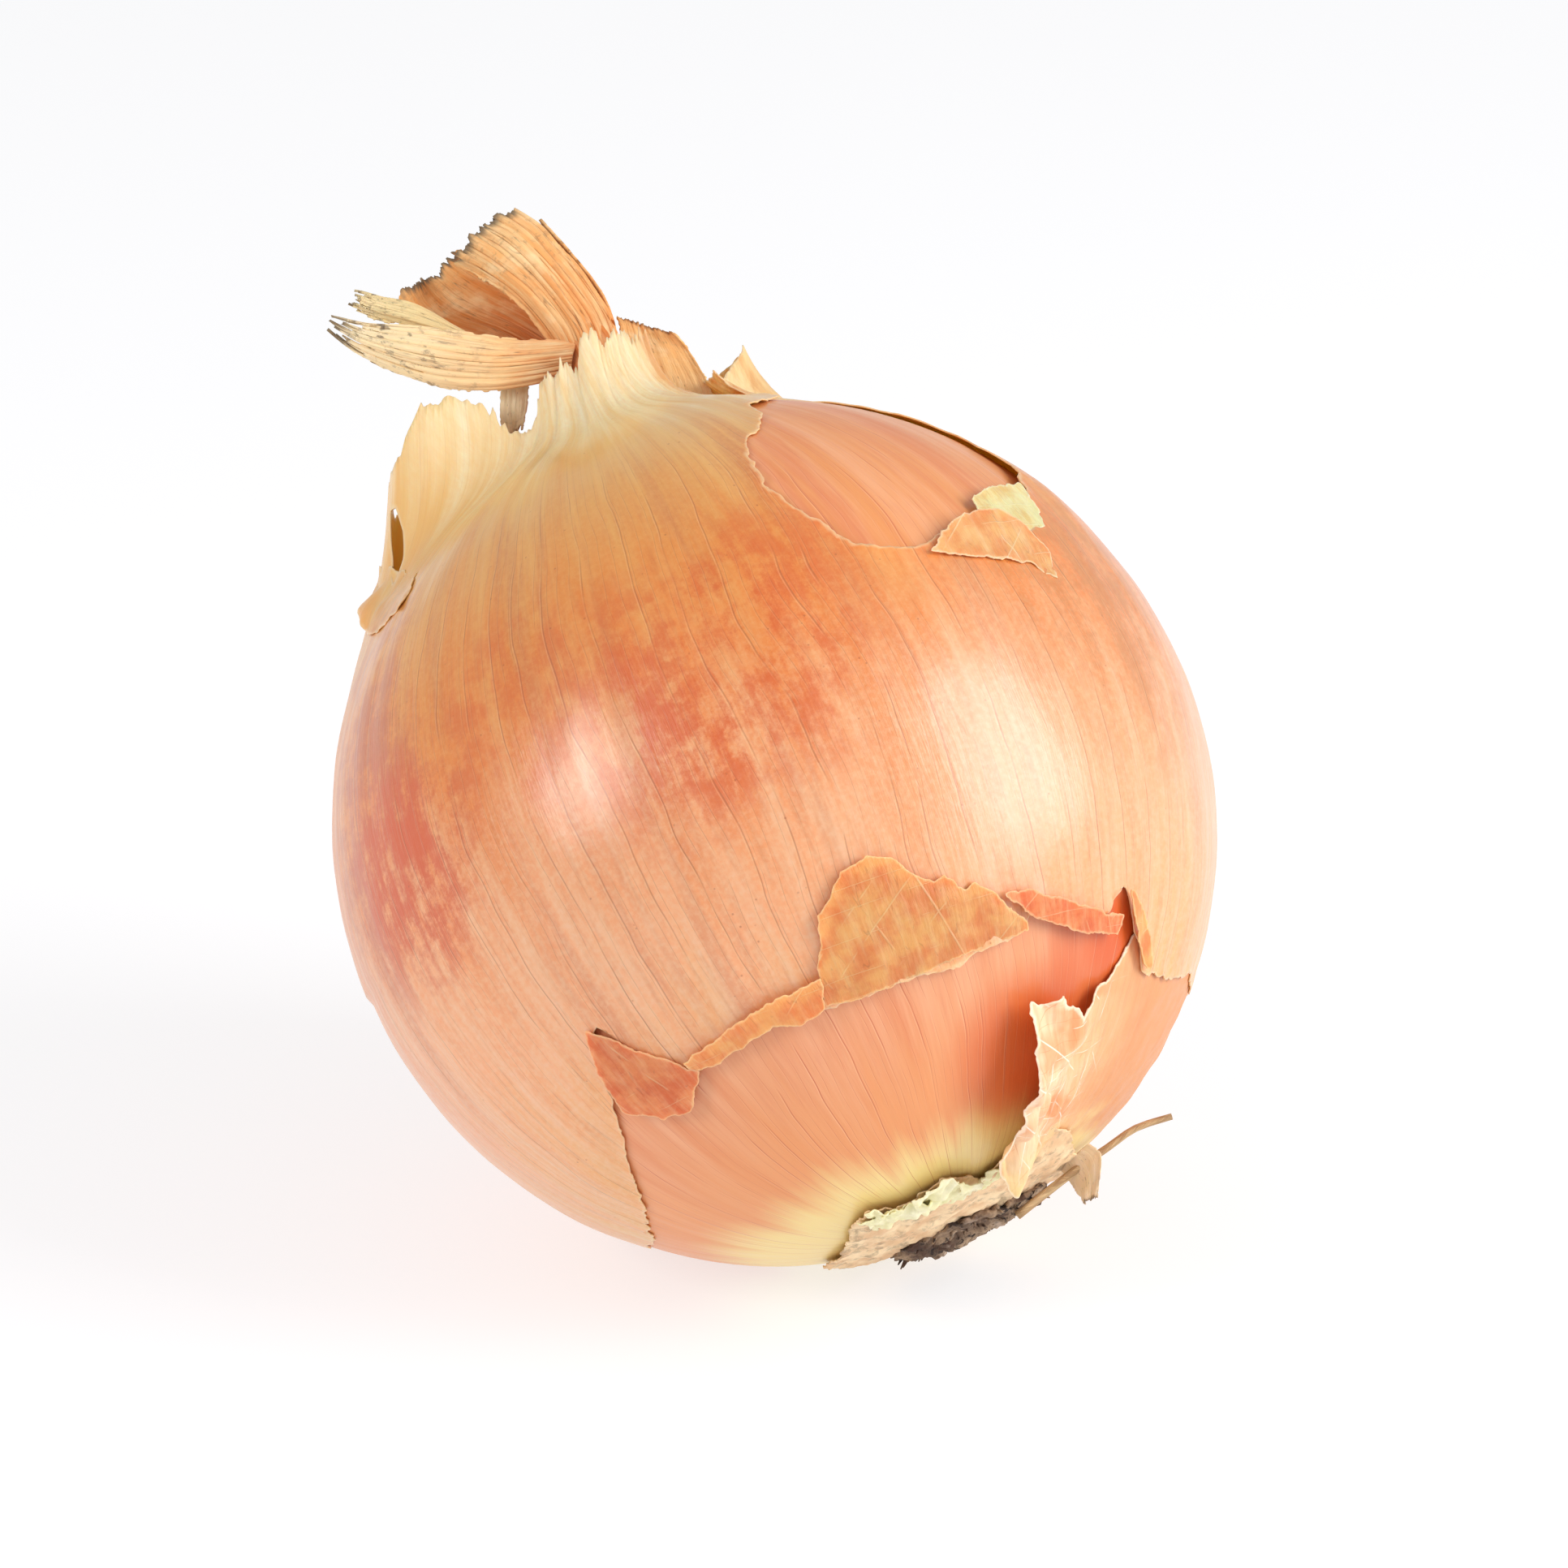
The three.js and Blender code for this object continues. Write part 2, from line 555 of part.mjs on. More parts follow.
const part = new THREE.Group();
part.add(onion);

export default part;
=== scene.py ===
import math

import bmesh
import bpy
from mathutils import Matrix, Vector, noise


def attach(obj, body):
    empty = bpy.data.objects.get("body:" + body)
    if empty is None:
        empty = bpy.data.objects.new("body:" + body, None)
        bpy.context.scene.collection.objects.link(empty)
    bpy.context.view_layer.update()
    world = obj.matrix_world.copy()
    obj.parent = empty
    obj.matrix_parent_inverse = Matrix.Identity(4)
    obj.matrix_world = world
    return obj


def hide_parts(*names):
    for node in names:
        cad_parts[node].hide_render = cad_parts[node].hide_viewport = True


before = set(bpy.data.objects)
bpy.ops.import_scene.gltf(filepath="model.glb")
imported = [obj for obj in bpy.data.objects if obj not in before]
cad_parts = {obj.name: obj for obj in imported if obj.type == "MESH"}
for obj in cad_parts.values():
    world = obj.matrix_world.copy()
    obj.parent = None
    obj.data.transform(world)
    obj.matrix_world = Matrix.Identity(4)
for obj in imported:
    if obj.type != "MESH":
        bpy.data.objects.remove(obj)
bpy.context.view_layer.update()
print("frame loaded")

mm = 0.001

# The onion's own frame: x to the front, y to the right, z from the root to the neck, about the
# middle of the bulb. A place on a layer is a longitude and a latitude in degrees, as in the part.
onion = {
    "radius": 39.4,
    "egg": 0.008,
    "eggLine": (90, -62),
    "rootFlattening": 0.022,
    "rootFlatSpread": 15,
    "neckRadius": 4.2,
    "neckTop": 43.6,
    "collarRadius": 4.9,
    "collarLean": 1.6,
    "shoulder": 38,
    "axisTilt": 40.3,
    "axisTowards": 127.6,
    "frontRise": 22,
    "restFlat": 0.5,
}


def direction(lon, lat):
    a, b = math.radians(lon), math.radians(lat)
    return Vector((math.cos(b) * math.cos(a), math.cos(b) * math.sin(a), math.sin(b)))


def layerRadius(way, offset, neckRadius):
    across = max(math.hypot(way.x, way.y), 1e-4)
    neck = (neckRadius + offset) / across if way.z > 0 else 0
    globe = ((onion["radius"] + offset) ** 4 + neck ** 4) ** 0.25
    fromRoot = math.degrees(math.acos(max(-1, min(1, -way.z))))
    flattening = onion["rootFlattening"] * math.exp(-(fromRoot / onion["rootFlatSpread"]) ** 2)
    egg = onion["egg"] * (2 * way.dot(direction(*onion["eggLine"])) ** 2 - 1)
    return globe * (1 - flattening + egg)


def layerPoint(lon, lat, offset=0, neckRadius=None):
    way = direction(lon, lat)
    point = way * layerRadius(way, offset, onion["collarRadius"] if neckRadius is None else neckRadius)
    point.y += onion["collarLean"] * (max(0, point.z - onion["shoulder"]) / 10) ** 2
    return point


def onionFrame():
    axis = direction(onion["axisTowards"], 90 - onion["axisTilt"])
    viewer = direction(-90, onion["frontRise"])
    front = (viewer - axis * viewer.dot(axis)).normalized()
    turn = Matrix((front, axis.cross(front), axis)).transposed()
    down = turn.transposed() @ Vector((0, 0, -1))
    height = layerRadius(down, 0, onion["neckRadius"]) - onion["restFlat"]
    return Matrix.Translation((0, 0, height * mm)) @ turn.to_4x4() @ Matrix.Scale(mm, 4)


toPart = onionFrame()
floorHeight = 0.25  # the skins keep this far above the floor, in mm
mergeDistance = 0.004  # points nearer than this become one, in mm


def smoothStep(low, high, value):
    t = max(0.0, min(1.0, (value - low) / (high - low)))
    return t * t * (3 - 2 * t)


def between(points, at):
    # the second number of a list of pairs, read at a first number that grows along the list
    if at <= points[0][0]:
        return points[0][1]
    for (a, low), (b, high) in zip(points, points[1:]):
        if at <= b:
            return low + (high - low) * (at - a) / (b - a)
    return points[-1][1]


def wobble(x, y, seed, *octaves):
    # noise summed over pairs of frequency and size
    def wave(often):
        return noise.noise(Vector((x * often, y * often, seed * 7.3 + often)))
    return sum(size * wave(often) for often, size in octaves)


def insideOf(outline, stretch=1.0):
    # distance in from the edge of an outline, negative outside it
    points = [(x * stretch, y) for x, y in outline]
    edges = list(zip(points, points[1:] + points[:1]))

    def distance(x, y):
        x *= stretch
        best = 1e9
        inside = False
        for (ax, ay), (bx, by) in edges:
            dx, dy = bx - ax, by - ay
            t = max(0.0, min(1.0, ((x - ax) * dx + (y - ay) * dy) / (dx * dx + dy * dy + 1e-12)))
            best = min(best, math.hypot(x - ax - t * dx, y - ay - t * dy))
            if (ay > y) != (by > y) and x < (bx - ax) * (y - ay) / (by - ay) + ax:
                inside = not inside
        return best if inside else -best

    return distance


def flatGrid(west, east, south, north, cellX, cellY):
    bm = bmesh.new()
    columns = max(2, round((east - west) / cellX))
    rows = max(2, round((north - south) / cellY))
    bmesh.ops.create_grid(bm, x_segments=columns, y_segments=rows, size=0.5)
    bmesh.ops.scale(bm, vec=(east - west, north - south, 1), verts=bm.verts)
    bmesh.ops.translate(bm, vec=((east + west) / 2, (north + south) / 2, 0), verts=bm.verts)
    return bm


def tear(bm, keep, reach=1.0, cuts=2):
    # splits the mesh finely along the line where keep is zero, and drops the part below zero
    value = {v: keep(v.co.x, v.co.y) for v in bm.verts}
    far = [f for f in bm.faces if all(value[v] < -reach for v in f.verts)]
    bmesh.ops.delete(bm, geom=far, context="FACES")
    near = [e for e in bm.edges if any(abs(value[v]) < reach for v in e.verts)]
    bmesh.ops.subdivide_edges(bm, edges=near, cuts=cuts, use_grid_fill=True)
    value = {v: keep(v.co.x, v.co.y) for v in bm.verts}
    added = []
    for edge in [e for e in bm.edges if value[e.verts[0]] * value[e.verts[1]] < 0]:
        start, end = edge.verts
        share = value[start] / (value[start] - value[end])
        place = start.co.lerp(end.co, share)
        _, fresh = bmesh.utils.edge_split(edge, start, share)
        fresh.co = place
        value[fresh] = 0.0
        added.append(fresh)
    bmesh.ops.connect_verts(bm, verts=added)
    gone = [f for f in bm.faces if sum(value[v] for v in f.verts) <= 0]
    bmesh.ops.delete(bm, geom=gone, context="FACES")
    loose = [v for v in bm.verts if not v.link_faces]
    bmesh.ops.delete(bm, geom=loose, context="VERTS")


def dropCrumbs(bm):
    # bits that were torn off a sheet go, and its largest part stays
    left, parts = set(bm.verts), []
    for vert in bm.verts:
        if vert not in left:
            continue
        left.discard(vert)
        part = [vert]
        for at in part:  # grows while it is walked
            for edge in at.link_edges:
                other = edge.other_vert(at)
                if other in left:
                    left.discard(other)
                    part.append(other)
        parts.append(part)
    parts.sort(key=len)
    crumbs = [vert for part in parts[:-1] for vert in part]
    bmesh.ops.delete(bm, geom=crumbs, context="VERTS")


def mapPlaces(bm, flat):
    # the UV map that the materials read
    uv = bm.loops.layers.uv.new("place")
    for face in bm.faces:
        for loop in face.loops:
            loop[uv].uv = flat(loop.vert.co)


def wrap(bm, place, rim):
    # carries a flat sheet to its place, and keeps the flat place as its UV map
    dropCrumbs(bm)
    mapPlaces(bm, lambda co: (co.x, co.y))
    edge = bm.verts.layers.float.new("rim")
    for vert in bm.verts:
        x, y = vert.co.x, vert.co.y
        vert[edge] = max(0.0, rim(x, y))
        vert.co = place(x, y)


def pieceFrom(name, bm, thickness=0.0):
    # the mesh goes from the onion's frame to the part's
    bmesh.ops.remove_doubles(bm, verts=bm.verts, dist=mergeDistance)
    bmesh.ops.transform(bm, matrix=toPart, verts=bm.verts)
    for face in bm.faces:
        face.smooth = True
    mesh = bpy.data.meshes.new(name)
    bm.to_mesh(mesh)
    bm.free()
    piece = bpy.data.objects.new(name, mesh)
    bpy.context.scene.collection.objects.link(piece)
    if thickness:
        wall = piece.modifiers.new("wall", "SOLIDIFY")
        wall.thickness = thickness * mm
        wall.offset = 0
        wall.use_even_offset = False
    return piece


def dress(piece, material, node):
    piece.data.materials.append(material)
    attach(piece, "root")
    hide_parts(node)
    print("made", piece.name, len(piece.data.polygons))


def clearOfFloor(point):
    lowest = (toPart @ point).z / mm
    if lowest >= floorHeight:
        return point
    return toPart.inverted() @ ((toPart @ point) + Vector((0, 0, (floorHeight - lowest) * mm)))


def srgb(r, g, b):
    def line(c):
        c /= 255
        return c / 12.92 if c <= 0.04045 else ((c + 0.055) / 1.055) ** 2.4
    return (line(r), line(g), line(b), 1)


def start(tree, kind, **settings):
    made = tree.nodes.new("ShaderNode" + kind)
    for key, value in settings.items():
        setattr(made, key, value)
    return made


def add(kind, inputs, **settings):
    # the node goes into the tree that its linked inputs come from
    linked = {key: value for key, value in inputs.items() if isinstance(value, bpy.types.NodeSocket)}
    tree = next(iter(linked.values())).id_data
    made = start(tree, kind, **settings)
    for key, value in inputs.items():
        if key in linked:
            tree.links.new(value, made.inputs[key])
        else:
            made.inputs[key].default_value = value
    return made


def maths(operation, a, b=0.0, c=0.0):
    return add("Math", {0: a, 1: b, 2: c}, operation=operation).outputs[0]


def times(a, b):
    return maths("MULTIPLY", a, b)


def vectors(operation, a, b=(0, 0, 0)):
    made = add("VectorMath", {0: a, 1: b}, operation=operation)
    return made.outputs["Value" if operation == "DOT_PRODUCT" else "Vector"]


def stretch(value, low, high, toLow=0.0, toHigh=1.0):
    inputs = {"Value": value, "From Min": low, "From Max": high, "To Min": toLow, "To Max": toHigh}
    return add("MapRange", inputs, interpolation_type="SMOOTHSTEP").outputs[0]


def blend(factor, a, b):
    return add("Mix", {0: factor, 6: a, 7: b}, data_type="RGBA").outputs[2]


def layer(tint, colour, mask, amount=1.0):
    # a colour laid over the tint where the mask is
    return blend(times(mask, amount), tint, srgb(*colour))


def cloud(vector, scale, detail=3.0, roughness=0.55):
    inputs = {"Vector": vector, "Scale": scale, "Detail": detail, "Roughness": roughness}
    return add("TexNoise", inputs).outputs["Fac"]


def colours(factor, stops):
    ramp = add("ValToRGB", {"Fac": factor})
    bar = ramp.color_ramp
    while len(bar.elements) < len(stops):
        bar.elements.new(0.5)
    for element, (place, colour) in zip(bar.elements, stops):
        element.position = place
        element.color = srgb(*colour)
    return ramp.outputs["Color"]


def newMaterial(name):
    material = bpy.data.materials.new(name)
    material.use_nodes = True
    tree = material.node_tree
    return material, tree, tree.nodes["Principled BSDF"]


skinReach = (0.004, 0.0016, 0.0007)  # how far red, green and blue light run through a skin
coatRoughness = 0.24


def surface(shader, tint, rough, relief, through=None, coat=0.0):
    # rough is a number, or a cloud with its low and high roughness; relief is a height, its
    # strength and depth; through is how much light the piece passes, the scale and the reach
    links = shader.id_data.links
    links.new(tint, shader.inputs["Base Color"])
    if isinstance(rough, tuple):
        links.new(stretch(rough[0], 0.2, 0.8, *rough[1:]), shader.inputs["Roughness"])
    else:
        shader.inputs["Roughness"].default_value = rough
    height, strength, depth = relief
    bump = add("Bump", {"Height": height, "Strength": strength, "Distance": depth})
    links.new(bump.outputs[0], shader.inputs["Normal"])
    if through:
        weight, scale, reach = through
        shader.inputs["Subsurface Weight"].default_value = weight
        shader.inputs["Subsurface Radius"].default_value = reach
        shader.inputs["Subsurface Scale"].default_value = scale
    if coat:
        shader.inputs["Coat Weight"].default_value = coat
        shader.inputs["Coat Roughness"].default_value = coatRoughness


def rimOf(tree):
    # how far in from its torn edge a place on a sheet is
    return start(tree, "Attribute", attribute_name="rim").outputs["Fac"]


def placeOf(tree):
    return start(tree, "UVMap", uv_map="place").outputs[0]


degreesPerRadian = 57.29578
grainPerDegree = 0.0018  # how little the grain changes from neck to root


def onionPlaces(tree):
    # the direction from the bulb's middle in the onion's frame, in degrees and round the axis
    spot = start(tree, "TexCoord").outputs["Object"]
    centre = toPart.translation
    out = vectors("NORMALIZE", vectors("SUBTRACT", spot, centre))
    front, right, axis = [toPart.to_3x3().col[i].normalized() for i in range(3)]
    x, y, z = [vectors("DOT_PRODUCT", out, way) for way in (front, right, axis)]
    lat = times(maths("ARCSINE", z), degreesPerRadian)
    lon = times(maths("ARCTAN2", y, x), degreesPerRadian)
    across = maths("SQRT", maths("ADD", times(x, x), times(y, y)))
    across = maths("MAXIMUM", across, 0.02)
    aroundX = maths("DIVIDE", x, across)
    aroundY = maths("DIVIDE", y, across)
    lengthwise = times(lat, grainPerDegree)
    grain = add("CombineXYZ", {0: aroundX, 1: aroundY, 2: lengthwise}).outputs[0]
    own = add("CombineXYZ", {0: x, 1: y, 2: z}).outputs[0]
    return {"own": own, "grain": grain, "lat": lat, "lon": lon}


def patchOf(places, lon, lat, size):
    # 1 at a place on the globe, falling to 0 at size degrees from it
    near = vectors("DOT_PRODUCT", places["own"], direction(lon, lat))
    return stretch(near, math.cos(math.radians(size)), 1)


def lines(vector, scale, width, detail=1.0):
    # thin lines where a cloud crosses its middle value
    value = cloud(vector, scale, detail, 0.4)
    off = maths("ABSOLUTE", maths("SUBTRACT", value, 0.5))
    return stretch(off, 0.0, width, 1.0, 0.0)


def evenLines(at, thin, wide, most=1.0):
    # a thin line at each cell's end along one direction
    inputs = {"W": at, "Scale": 1.0}
    cell = add("TexVoronoi", inputs, voronoi_dimensions="1D", feature="DISTANCE_TO_EDGE")
    return stretch(cell.outputs["Distance"], thin, wide, most, 0)


def veins(places, tint, colour, strength):
    # thin dark lines from the neck to the root, each with a pale one beside it
    sway = times(cloud(places["own"], 2.0, 3, 0.4), 7)
    at = maths("ADD", places["lon"], sway)
    fade = stretch(places["lat"], 40, 60, strength, strength * 0.25)
    beside = (252, 214, 172)
    for often, width, share in ((0.17, 0.018, 1.0), (0.5, 0.03, 0.6)):
        shown = stretch(cloud(places["own"], 3 + often * 8, 2), 0.36, 0.56, 0, share)
        shown = times(shown, fade)
        for aside, wide, shade, part in ((width * 2, 1.0, beside, 0.45), (0, 1.3, colour, 1)):
            turn = maths("MULTIPLY_ADD", at, often, aside)
            line = evenLines(turn, width * wide * 0.3, width * wide, wide * 0.8 - 0.3)
            tint = layer(tint, shade, times(line, shown), part)
    return tint


# the bulb in its tight inner skin
bulbLook = {
    "segments": 160,
    "rings": 96,
    "height": 0.2,  # above the solid, in mm
    "swell": 0.10,
    "base": (220, 150, 104),
    "yellow": (240, 212, 138),
    "blush": (222, 140, 96),
    # deep: the colour of the painted shadow beside the crumpled lower skin and in the gap at the outer
    # skin's tear
    "deep": (208, 86, 26),
    "tan": (222, 142, 76),
    "vein": (186, 88, 54),
}


def makeBulb():
    bm = bmesh.new()
    look = bulbLook
    bmesh.ops.create_uvsphere(bm, u_segments=look["segments"], v_segments=look["rings"], radius=1)
    for vert in bm.verts:
        way = vert.co.normalized()
        reach = layerRadius(way, look["height"], onion["neckRadius"])
        reach += look["swell"] * noise.noise(way * 2.2)
        if way.z > 0:
            reach = min(reach, onion["neckTop"] / way.z)
        place = way * reach
        low = (toPart @ place).z / mm
        if low < 0:  # the small flat that it rests on
            place = toPart.inverted() @ ((toPart @ place) - Vector((0, 0, low * mm)))
        vert.co = place
    return pieceFrom("bulbFlesh", bm)


def bulbSkin():
    look = bulbLook
    material, tree, shader = newMaterial("innerSkin")
    places = onionPlaces(tree)
    grain, own, lat = places["grain"], places["own"], places["lat"]
    tint = blend(cloud(own, 2.6, 3), srgb(*look["base"]), srgb(*look["blush"]))
    streak = stretch(cloud(grain, 16, 4, 0.6), 0.35, 0.7)
    tint = layer(tint, look["tan"], stretch(lat, -20, 20, 0, 0.75))
    tint = layer(tint, (236, 176, 138), streak, 0.45)
    fine = cloud(grain, 60, 3, 0.6)
    tint = layer(tint, (205, 120, 84), stretch(fine, 0.45, 0.8), 0.35)
    smear = times(stretch(cloud(grain, 9, 5, 0.65), 0.5, 0.68), 0.5)
    tint = layer(tint, (208, 108, 60), smear)
    low = maths("ADD", lat, times(cloud(grain, 7, 5, 0.6), 18))
    tint = layer(tint, (230, 148, 84), stretch(low, -48, -24, 0.75, 0))
    tint = layer(tint, look["yellow"], stretch(low, -57, -46, 1, 0))
    # painted shadow: deep orange patches where the crumpled lower skin and the torn outer skin shade the
    # bulb
    for lon, lati, size, strength in ((30, -50, 14, 0.85), (47, -39, 13, 0.6), (50, -38, 8, 0.9)):
        spot = times(patchOf(places, lon, lati, size), strength)
        tint = layer(tint, look["deep"], spot)
    tint = veins(places, tint, look["vein"], 0.9)
    rough = (cloud(grain, 24, 3), 0.34, 0.5)
    relief = (cloud(grain, 42, 5, 0.65), 0.25, 0.0003)
    surface(shader, tint, rough, relief, (0.12, 0.6, skinReach), coat=0.3)
    return material


dress(makeBulb(), bulbSkin(), "bulb")


# the outer papery skin
outerLook = {
    "height": 0.62,  # above the bulb, in mm
    "thickness": 0.14,
    "cell": 1.5,
    "buckle": 0.16,
    "rib": 0.13,
    "least": 0.38,  # no part of the skin is nearer to the bulb
    "edgeLift": 0.25,
    "pleat": 0.3,
    "vein": (160, 84, 50),
    "red": (216, 82, 26),
    "plum": (186, 88, 60),
    "tan": (190, 116, 62),
    "brown": (212, 128, 58),
    "blushes": [  # longitude, latitude, size in degrees, colour and strength
        (4, 12, 24, "red", 0.75), (-24, 20, 20, "red", 0.5), (-60, 14, 28, "plum", 0.6),
        # the tan patch at longitude 64 is partly the skin's own colour and partly painted shade on the
        # right side
        (-52, 8, 20, "red", 0.9), (-66, 38, 20, "plum", 0.45), (64, 4, 30, "tan", 0.55),
        (-8, 2, 14, "red", 0.6), (98, 76, 14, "brown", 0.95), (16, 26, 12, "red", 0.35),
    ],
}
# where the collar stands wider: longitude, half width in degrees and how much wider in mm
flares = [(-93, 24, 12.4), (90, 13, 2.8), (119, 11, 8.4), (176, 30, 2.5)]

# edges of the skin, as longitude with latitude, or with height in mm for the rim at the neck
lowerTear = [
    (-180, -40), (-160, -32), (-145, -29), (-126, -33), (-110, -43), (-95, -49), (-80, -50.5),
    (-70, -49), (-60, -46), (-52, -41), (-45, -35), (-38, -27), (-35, -22.5), (-31, -28),
    (-26, -33.5), (-20, -32), (-12, -31.5), (-6, -33.5), (5, -34), (18, -34.5), (29, -34),
    (32, -30), (38, -33), (44, -35.5), (48, -33), (50, -32), (53, -38), (57, -43.5), (66, -45),
    (80, -43.5), (95, -45), (112, -41), (130, -47), (152, -42), (180, -40),
]
upperRim = [
    (-180, 44.5), (-160, 46.5), (-140, 46), (-125, 44.6), (-114, 43), (-108, 42), (-100, 42.5),
    (-95, 44.4), (-89, 45.6), (-84, 46), (-82, 47.6), (-80, 50), (-74, 49), (-68, 47.8), (-64.5, 46.9),
    (-62, 44.4), (-57, 43.4), (-48, 44), (-38, 45.4), (-28, 45.9), (-18, 47.6), (-8, 46.8), (2, 48),
    (12, 47.2), (25, 47.6), (40, 47), (56, 47), (70, 44), (88, 42), (100, 42), (108, 41.6),
    (113, 43.8), (118, 45.2), (123, 44), (130, 42), (142, 44), (155, 45.5), (168, 46), (180, 44.5),
]
slit = [(-88, 63.5), (-85, 64), (-82, 62.4), (-80, 59.6), (-79.6, 56), (-81.6, 57), (-84.6, 60)]
window = [
    (38, 57.5), (36, 54), (33, 51), (27, 47.5), (23.5, 45), (22, 41), (21, 36), (22, 30),
    (24, 26), (26, 21), (31, 19), (36, 18), (40, 19.5), (45, 21), (50, 20.5), (54, 16.5),
    (58, 18.5), (64, 25), (70, 30), (74, 40), (77, 54), (82, 66), (88, 75), (91, 86), (60, 86),
    (62, 79), (66, 75), (66, 70), (63, 65), (56, 61), (46, 59),
]


def collarRadius(lon):
    radius = onion["collarRadius"]
    for at, width, more in flares:
        away = (lon - at + 540) % 360 - 180
        radius += more * math.exp(-((away / width) ** 2))
    return radius


def allRound(shape):
    # the same value at longitude 180 as at -180, so that the skin closes at the back
    def joined(lon, lat):
        share = smoothStep(140, 180, lon)
        value = shape(lon, lat)
        return value + (shape(lon - 360, lat) - value) * share if share else value
    return joined


def makeOuterSkin():
    look = outerLook
    inWindow = insideOf(window, 0.72)
    inSlit = insideOf(slit, 0.47)

    @allRound
    def low(lon, lat):
        at = lon + wobble(lon, lat, 3, (0.5, 0.5))
        return lat - between(lowerTear, at) + wobble(lon, lat, 1, (0.14, 1.0), (0.5, 0.7), (1.7, 0.35))

    @allRound
    def high(lon, lat):
        height = layerPoint(lon, lat, look["height"], collarRadius(lon)).z
        calm = 1 - 0.65 * smoothStep(50, 75, lon) * smoothStep(150, 130, lon)
        notch = 1.8 * max(0, wobble(lon, 0, 5, (0.12, 1.0), (0.45, 0.7))) ** 1.5
        fray = wobble(lon, lat, 6, (0.13, 0.9), (0.4, 0.7), (1.3, 0.3))
        return between(upperRim, lon) - height + (fray - notch) * calm

    def hole(lon, lat):
        torn = inWindow(lon, lat) + wobble(lon, lat, 8, (0.3, 0.5), (1.0, 0.3), (2.6, 0.15))
        return -max(torn, inSlit(lon, lat))

    @allRound
    def lift(lon, lat):
        height = look["height"] + look["buckle"] * wobble(lon, lat, 11, (0.05, 1.0), (0.15, 0.5))
        height += look["rib"] * wobble(lon, lat * 0.04, 15, (0.13, 1.0), (0.4, 0.35))
        height += 0.5 * math.exp(-(((lon - 70) / 6) ** 2) - ((lat - 24) / 8) ** 2)
        near = min(low(lon, lat), hole(lon, lat))
        curl = smoothStep(2.5, 0, near) * (0.4 + wobble(lon, lat, 13, (0.2, 1.0)))
        height += look["edgeLift"] * max(0, curl) * smoothStep(-46, -36, lon)
        height -= 0.2 * smoothStep(7, 0, low(lon, lat)) * smoothStep(-36, -46, lon)
        beside = smoothStep(26, 34, lat) * smoothStep(74, 66, lat)
        height -= 0.25 * smoothStep(7, 0, hole(lon, lat)) * beside
        pleats = wobble(lon, lat * 0.03, 17, (0.07, 1.2), (0.2, 0.7), (0.6, 0.25))
        height += look["pleat"] * smoothStep(48, 78, lat) * pleats
        return max(height, look["least"])

    def place(lon, lat):
        return clearOfFloor(layerPoint(lon, lat, lift(lon, lat), collarRadius(lon)))

    bm = flatGrid(-180, 180, -54, 84, look["cell"], look["cell"])
    tear(bm, low)
    tear(bm, high, 3.0)
    tear(bm, hole)
    wrap(bm, place, lambda lon, lat: min(low(lon, lat), hole(lon, lat), high(lon, lat) * 1.5))
    return pieceFrom("outerSkin", bm, look["thickness"])


